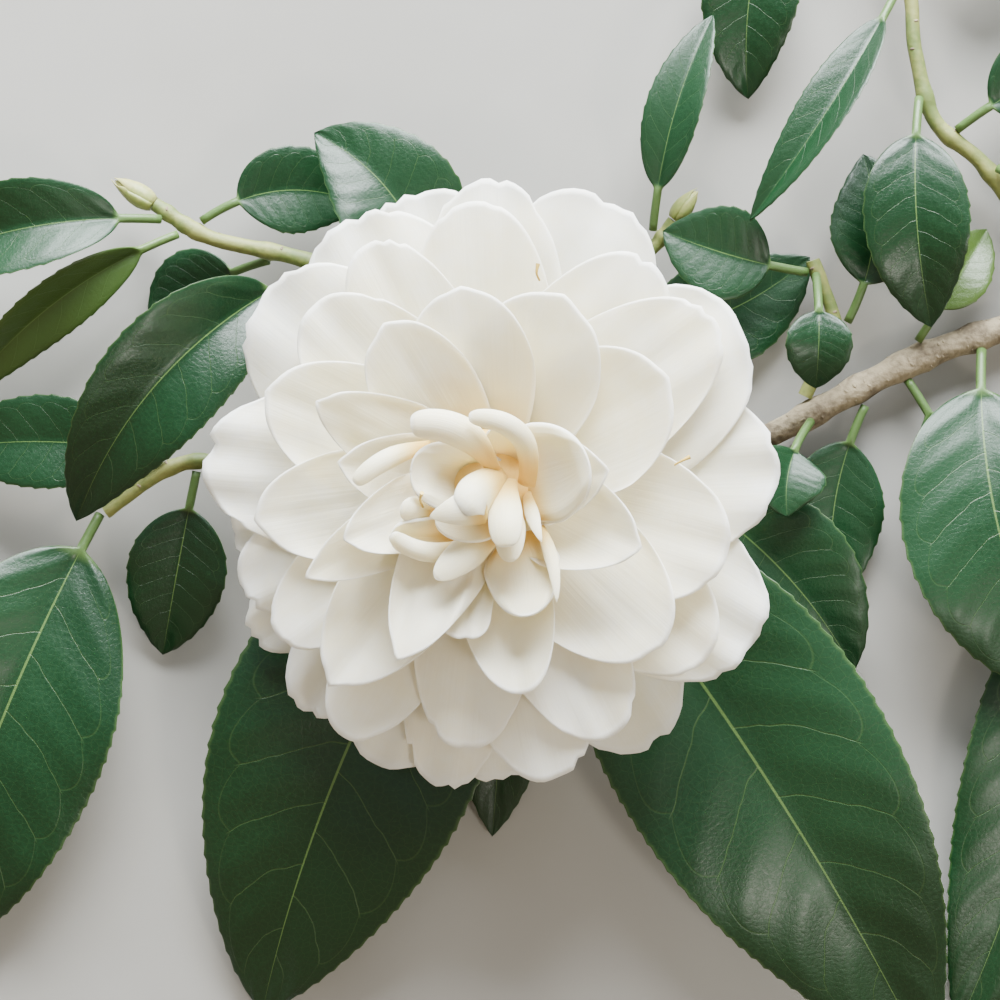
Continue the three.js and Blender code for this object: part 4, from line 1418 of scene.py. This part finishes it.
class BloomSettings(bpy.types.PropertyGroup):
    thickness: length("Thickness", "Thickness of a petal", 0.4)
    gap: length("Gap", "Air between petals that lie one on another", 0.25)
    heart_thickness: length("Heart thickness", "Thickness of the heart's petals", 0.7)
    ruffle: length("Ruffle", "Height of the rim's waves", 0.45)
    sepals: count("Sepals", "Sepals of the calyx", 9)
    sepal_thickness: length("Sepal thickness", "Thickness of a sepal", 0.5)
    stamen_radius: length("Stamen radius", "Half the thickness of a stray stamen", 0.3)
    swell: length("Swell", "Height of a petal's soft bumps", 0.45)
    rows: count("Rows", "Stretches along a petal", 34)
    columns: count("Columns", "Stretches across a petal", 28)
    seed: count("Seed", "Start of the petals' chance", 7)
    ivory: colour("Petals", 0.9, 0.84, 0.65)
    # Lightens a petal's random patches, and is also a painted highlight along its rims.
    rim: colour("Petals' rims", 0.93, 0.92, 0.84)
    foot: colour("Petals' feet", 0.9, 0.79, 0.48)
    # The heart petals' feet also colour the painted shade at the feet of the rings.
    heart_foot: colour("Heart petals' feet", 0.85, 0.71, 0.36)
    # The tight bud's orange is painted shade, for the shade deep in the heart's crevices.
    core: colour("Tight bud in the heart", 0.76, 0.46, 0.08)
    core_light: colour("Tight bud's lighter spots", 0.84, 0.56, 0.15)
    sepal: colour("Sepals", 0.22, 0.25, 0.1)
    sepal_light: colour("Sepals' lighter spots", 0.42, 0.44, 0.22)
    stamen: colour("Stamens", 0.55, 0.36, 0.06)
    stamen_light: colour("Stamens' lighter spots", 0.75, 0.55, 0.15)


class LeafSettings(bpy.types.PropertyGroup):
    thickness: length("Thickness", "Thickness of a blade", 0.5)
    tooth_pitch: length("Tooth pitch", "From one tooth to the next", 3.3)
    tooth_depth: length("Tooth depth", "How far a tooth stands out", 0.55)
    wave: length("Wave", "Waves of the margin of a broad leaf", 0.8)
    pucker: length("Pucker", "Swelling between the side veins of a broad leaf", 0.32)
    broad: length("Broad", "Width of a leaf that has all of its waves", 45)
    columns: count("Columns", "Stretches across a leaf", 26)
    seed: count("Seed", "Start of the leaves' chance", 3)
    deep: colour("Leaves", 0.0013, 0.02, 0.005)
    fresh: colour("Leaves' lighter spots", 0.003, 0.03, 0.008)
    young: colour("Youngest leaves", 0.08, 0.13, 0.02)
    vein: colour("Leaves' veins", 0.11, 0.19, 0.05)
    underside: colour("Leaves' undersides", 0.05, 0.11, 0.03)
    under_vein: colour("Veins of the undersides", 0.2, 0.26, 0.09)


class StemSettings(bpy.types.PropertyGroup):
    sides: count("Sides", "Sides of a stem's section", 20)
    step: length("Step", "From one ring of a stem to the next", 0.8)
    unevenness: length("Unevenness", "Depth of the bark's folds", 0.22)
    scales: count("Scales", "Scales of a bud", 8)
    scale_thickness: length("Scale thickness", "Thickness of a bud's scale", 0.2)
    pores: bpy.props.FloatProperty(
        name="Pores", description="Raised pores on a square metre of bark", default=60000)
    bark: colour("Bark", 0.1, 0.075, 0.045)
    bark_light: colour("Bark's lighter spots", 0.27, 0.22, 0.14)
    green: colour("Green shoots", 0.1, 0.14, 0.03)
    green_light: colour("Green shoots' lighter spots", 0.21, 0.22, 0.06)
    bud: colour("Bud scales", 0.2, 0.24, 0.06)
    bud_light: colour("Bud scales' lighter spots", 0.36, 0.33, 0.12)


class StageSettings(bpy.types.PropertyGroup):
    distance: length("Distance", "Height of the camera above the floor", 600)
    focal: bpy.props.FloatProperty(
        name="Focal length", description="Lens", default=118.6, unit="CAMERA")
    centre: bpy.props.FloatVectorProperty(
        name="Centre", description="Point of the floor under the lens",
        default=(-0.0011, -0.0088, 0), subtype="XYZ_LENGTH")
    floor: colour("Floor", 0.3, 0.29, 0.268)
    floor_light: colour("Floor's lighter spots", 0.325, 0.315, 0.292)
    key_power: bpy.props.FloatProperty(
        name="Key power", description="Power of the large light", default=92, unit="POWER")
    low_power: bpy.props.FloatProperty(
        name="Low power", description="Power of the small light", default=3, unit="POWER")
    key: colour("Large light", 0.92, 0.97, 1)
    low: colour("Small light", 1, 0.95, 0.86)
    near: colour("Even light from the near side", 1, 0.78, 0.52)
    far: colour("Even light from the far side", 0.85, 0.93, 1)
    even: bpy.props.FloatProperty(
        name="Even light", description="Strength of the light from all round", default=0.72, min=0)


# ------------------------------------------------------------------ operators
class CAMELLIA_OT_looks(bpy.types.Operator):
    """Makes the materials of every piece and the groups that they share"""

    bl_idname = "camellia.looks"
    bl_label = "Materials"

    def execute(self, context):
        scene = context.scene
        bloom, stems = in_mm(scene.camellia_bloom), in_mm(scene.camellia_stems)
        stage = in_mm(scene.camellia_stage)
        LOOKS["mottle"] = mottle_group()
        LOOKS["leaf_pattern"] = leaf_pattern_group()
        LOOKS["petal_pattern"] = petal_pattern_group()
        for name, ring in RINGS.items():
            LOOKS[name] = petal_material(f"{name.title()} petal", ring["warmth"], ring["ring_shade"],
                                         bloom.foot, bloom.heart_foot, bloom)
        # The heart petals' feet deepen into the tight bud's orange: painted shade.
        LOOKS["heart"] = petal_material("Heart petal", HEART_WARMTH, HEART_SHADE,
                                        bloom.heart_foot, bloom.core, bloom)
        # Key, name, settings, colour, roughness, depth of the relief in millimetres, and the
        # scales of the slow and fine variation where they aren't the usual ones.
        for name, title, group, tint, *finish in (
            # The heart core's orange is painted shade of the heart's depths.
            ("heart_core", "Heart core", bloom, "core", 0.6, 0.05),
            ("sepal", "Sepal", bloom, "sepal", 0.6, 0.15),
            ("stamen", "Stamen", bloom, "stamen", 0.6, 0.05),
            ("bark", "Bark", stems, "bark", 0.85, 0.5),
            ("green_stem", "Green stem", stems, "green", 0.6, 0.15),
            ("bud", "Bud scale", stems, "bud", 0.5, 0.12),
            ("floor", "Floor", stage, "floor", 0.8, 0.0, 6.0, 60.0),
        ):
            low, high = getattr(group, tint), getattr(group, tint + "_light")
            LOOKS[name] = plain_material(title, low, high, *finish)
        return {"FINISHED"}


class CAMELLIA_OT_stems(bpy.types.Operator):
    """Makes the main stem, the shoots and the flower stalk"""

    bl_idname = "camellia.stems"
    bl_label = "Stems"

    def execute(self, context):
        settings = in_mm(context.scene.camellia_stems)
        set_out_shoots()
        tree = stem_tree()
        for name, shoot in SHOOTS.items():
            swellings = [item["at"] for item in LEAVES.get(name, [])]
            swellings += [child["at"] for child in SHOOTS.values() if child.get("from") == name]
            woody = name == "main_stem"
            skin = "bark" if woody else "green_stem"
            pores = settings.pores * (1 if woody else GREEN_PORES)
            stem = make_stem(name, shoot["path"], shoot["radius"], swellings, tree, settings,
                             skin, pores)
            declare(stem, name)
        place = Matrix.Translation(-CENTRE) @ bloom_matrix()
        top = place @ Vector((0, 0, -CALYX_DEPTH - JOIN_GAP))
        neck = place @ Vector((0, 0, -CALYX_DEPTH - STALK_NECK))
        foot = seat_shoot(SHOOTS["main_stem"], STALK_AT, neck, STALK_RADIUS)
        stalk = make_stem("flower_stalk", [tuple(foot), tuple(neck), tuple(top)],
                          (STALK_RADIUS, STALK_RADIUS), STALK_SWELLINGS, tree, settings,
                          "green_stem", 0)
        declare(stalk, "flower_stalk")
        return {"FINISHED"}


class CAMELLIA_OT_leaves(bpy.types.Operator):
    """Makes every leaf as a piece of its own"""

    bl_idname = "camellia.leaves"
    bl_label = "Leaves"

    def execute(self, context):
        settings = in_mm(context.scene.camellia_leaves)
        set_out_shoots()
        looks = {}
        for shoot_name, blades in LEAVES.items():
            place = "main" if shoot_name == "main_stem" else shoot_name.replace("_shoot", "")
            for k, blade in enumerate(blades):
                rng = random.Random(f"{settings.seed} {place} {k}")
                pale = blade.get("pale", 0.0)
                if pale not in looks:
                    looks[pale] = leaf_material(f"Leaf {len(looks) + 1}", pale,
                                                MOTTLE_STEP * len(looks), settings)
                node = f"leaf_{place}_{k + 1}"
                foot = seat_leaf(SHOOTS[shoot_name], blade, PETIOLE_HALF)
                piece = make_leaf(node, {**blade, "foot": foot}, settings, rng)
                finish_piece(piece, looks[pale], node)
        return {"FINISHED"}


class CAMELLIA_OT_petals(bpy.types.Operator):
    """Makes the four rings of overlapping petals"""

    bl_idname = "camellia.petals"
    bl_label = "Petals"

    def execute(self, context):
        sizes = in_mm(context.scene.camellia_bloom)
        rng = random.Random(sizes.seed)
        drape = Drape()
        for name, ring in RINGS.items():
            plates = Plates(len(ring["petals"]))
            for petal in ring_petals(ring):
                plates.add(*petal_grid(petal, sizes, rng, drape))
            piece = plates.object(f"{name}_petals", bloom_matrix())
            finish_piece(piece, LOOKS[name], "bloom")
        return {"FINISHED"}


class CAMELLIA_OT_heart(bpy.types.Operator):
    """Makes the hooded petals of the heart and the tight bud that they spring from"""

    bl_idname = "camellia.heart"
    bl_label = "Heart"

    def execute(self, context):
        sizes = in_mm(context.scene.camellia_bloom)
        plates = Plates(len(HEART))
        for petal in HEART:
            plates.add(*hood_grid(petal, sizes))
        piece = plates.object("heart_petals", bloom_matrix())
        finish_piece(piece, LOOKS["heart"], "bloom")
        core = mesh_object("heart_core", *lathe_grid(HEART_CORE, 48), bloom_matrix())
        finish_piece(core, LOOKS["heart_core"], "bloom")
        return {"FINISHED"}


class CAMELLIA_OT_calyx(bpy.types.Operator):
    """Makes the calyx of overlapping sepals under the bloom"""

    bl_idname = "camellia.calyx"
    bl_label = "Calyx"

    def execute(self, context):
        sizes = in_mm(context.scene.camellia_bloom)
        place = bloom_matrix() @ Matrix.Translation((0, 0, -CALYX_DEPTH))
        sepal = scale_plate("sepal", sepal_outline, sizes.sepal_thickness)
        spiral = {"Last size": 0.66, "Last lean": math.radians(13), "Last height": -0.4 * MM}
        sepals = run_whorl("calyx_sepals", sepal, place, "sepal", sizes.sepals, spiral)
        declare(sepals, "calyx")
        core = mesh_object("calyx_core", *lathe_grid(CALYX_CUP, 40), place)
        finish_piece(core, LOOKS["sepal"], "calyx")
        return {"FINISHED"}


class CAMELLIA_OT_buds(bpy.types.Operator):
    """Makes the leaf buds at the shoots' ends, each of scales set in a spiral"""

    bl_idname = "camellia.buds"
    bl_label = "Buds"

    def execute(self, context):
        sizes = in_mm(context.scene.camellia_stems)
        set_out_shoots()
        for name, bud in BUDS.items():
            path = SHOOTS[bud["shoot"]]["path"]
            way = heading(path, 1)
            turn = way.to_track_quat("Z", "Y").to_matrix().to_4x4()
            place = Matrix.Translation(along(path, 1) + way * JOIN_GAP + CENTRE) @ turn
            outline = bud_outline(bud["length"], bud["radius"])
            scale = scale_plate(name + "_scale", outline, sizes.scale_thickness)
            spiral = {"Last size": 0.55, "Last lean": math.radians(17)}
            scales = run_whorl(name + "_scales", scale, place, "bud", sizes.scales, spiral)
            declare(scales, name)
            spindle = [(r * bud["radius"], h * bud["length"]) for r, h in BUD_SPINDLE]
            core = mesh_object(name + "_core", *lathe_grid(spindle, 20), place)
            finish_piece(core, LOOKS["bud"], name)
        return {"FINISHED"}


class CAMELLIA_OT_stamens(bpy.types.Operator):
    """Makes the few stray stamens that show between the petals"""

    bl_idname = "camellia.stamens"
    bl_label = "Stamens"

    def execute(self, context):
        sizes = in_mm(context.scene.camellia_bloom)
        place = Matrix.Translation(-CENTRE) @ bloom_matrix()
        tree = stem_tree()
        shares = [i / STAMEN_STEPS for i in range(STAMEN_STEPS + 1)]
        radii = [sizes.stamen_radius * mix(*STAMEN_TAPER, t**3) for t in shares]
        for k, line in enumerate(STAMENS):
            points = [place @ Vector(p) for p in line]
            carrier = curve_object("stamen_line", [along(points, t) for t in shares], radii)
            stamen = run_tree(f"stamen_{k + 1}", carrier, tree, Sides=8, Unevenness=0.05 * MM,
                              Bark=LOOKS["stamen"], Pore_skin=LOOKS["stamen"])
            declare(stamen, "bloom")
        return {"FINISHED"}


# The stage in metres: half the floor's side, the lights' places from the lens's point of the
# floor and their sizes, and the camera's near limit. The sensor's width is in millimetres.
FLOOR_HALF = 3.0
KEY_OFFSET = (0.1, 0.9, 0.4)
KEY_SIZE = 0.85
LOW_OFFSET = (0.46, -0.4, 0.82)
LOW_SIZE = 0.16
NEAR_LIMIT = 0.01
SENSOR_WIDTH = 36
NEAR_TO_FAR = (-0.7, 0.7)  # over which the even light turns from near to far colour


class CAMELLIA_OT_stage(bpy.types.Operator):
    """Makes the floor, the soft lights and the camera that looks down"""

    bl_idname = "camellia.stage"
    bl_label = "Stage"

    def execute(self, context):
        settings = in_mm(context.scene.camellia_stage)
        floor = bpy.data.meshes.new("floor")
        signs = ((-1, -1), (1, -1), (1, 1), (-1, 1))
        corners = [(x * FLOOR_HALF, y * FLOOR_HALF, 0) for x, y in signs]
        floor.from_pydata(corners, [], [(0, 1, 2, 3)])
        floor.materials.append(LOOKS["floor"])
        link_new("floor", floor)
        target = settings.centre * MM
        add_light("key", target, KEY_OFFSET, KEY_SIZE, settings.key_power, settings.key[:3])
        add_light("low", target, LOW_OFFSET, LOW_SIZE, settings.low_power, settings.low[:3])
        context.scene.world = soft_world(settings.near, settings.far, settings.even)
        camera = bpy.data.cameras.new("camera")
        camera.lens = settings.focal
        camera.sensor_width = SENSOR_WIDTH
        camera.clip_start = NEAR_LIMIT
        camera_object = link_new("camera", camera)
        camera_object.location = (target.x, target.y, settings.distance * MM)
        context.scene.camera = camera_object
        return {"FINISHED"}


def soft_world(low, high, strength):
    """Even light that is warm from the near side and cool from the far side."""
    world = bpy.data.worlds.new("soft")
    world.use_nodes = True
    graph = Graph(world.node_tree)
    way = graph.add("ShaderNodeTexCoord").outputs["Generated"]
    far = graph.step(graph.add("ShaderNodeSeparateXYZ", way).outputs[1], *NEAR_TO_FAR)
    background = world.node_tree.nodes["Background"]
    graph.feed(background, Color=graph.colour(far, low, high), Strength=strength)
    return world


def add_light(name, target, offset, size, power, colour):
    light = bpy.data.lights.new(name, "AREA")
    light.shape = "DISK"
    light.size = size
    light.energy = power
    light.color = colour
    obj = link_new(name, light)
    obj.location = target + Vector(offset)
    obj.rotation_euler = Vector(offset).to_track_quat("Z", "Y").to_euler()


class CAMELLIA_PT_panel(bpy.types.Panel):
    bl_label = "Camellia branch"
    bl_idname = "CAMELLIA_PT_panel"
    bl_space_type = "VIEW_3D"
    bl_region_type = "UI"
    bl_category = "Camellia"

    def draw(self, context):
        for operator in OPERATORS:
            self.layout.operator(operator.bl_idname)


SETTINGS = {
    "camellia_bloom": BloomSettings,
    "camellia_leaves": LeafSettings,
    "camellia_stems": StemSettings,
    "camellia_stage": StageSettings,
}
OPERATORS = [CAMELLIA_OT_looks, CAMELLIA_OT_stems, CAMELLIA_OT_leaves, CAMELLIA_OT_petals,
             CAMELLIA_OT_heart, CAMELLIA_OT_stamens, CAMELLIA_OT_calyx, CAMELLIA_OT_buds,
             CAMELLIA_OT_stage]


def register():
    for item in (*SETTINGS.values(), *OPERATORS, CAMELLIA_PT_panel):
        bpy.utils.register_class(item)
    for name, group in SETTINGS.items():
        setattr(bpy.types.Scene, name, bpy.props.PointerProperty(type=group))


def unregister():
    for name in SETTINGS:
        delattr(bpy.types.Scene, name)
    for item in reversed((*SETTINGS.values(), *OPERATORS, CAMELLIA_PT_panel)):
        bpy.utils.unregister_class(item)


def main():
    register()
    bpy.ops.camellia.looks()
    bpy.ops.camellia.stems()
    bpy.ops.camellia.leaves()
    bpy.ops.camellia.petals()
    bpy.ops.camellia.heart()
    bpy.ops.camellia.stamens()
    bpy.ops.camellia.calyx()
    bpy.ops.camellia.buds()
    bpy.ops.camellia.stage()


if __name__ == "__main__":
    main()
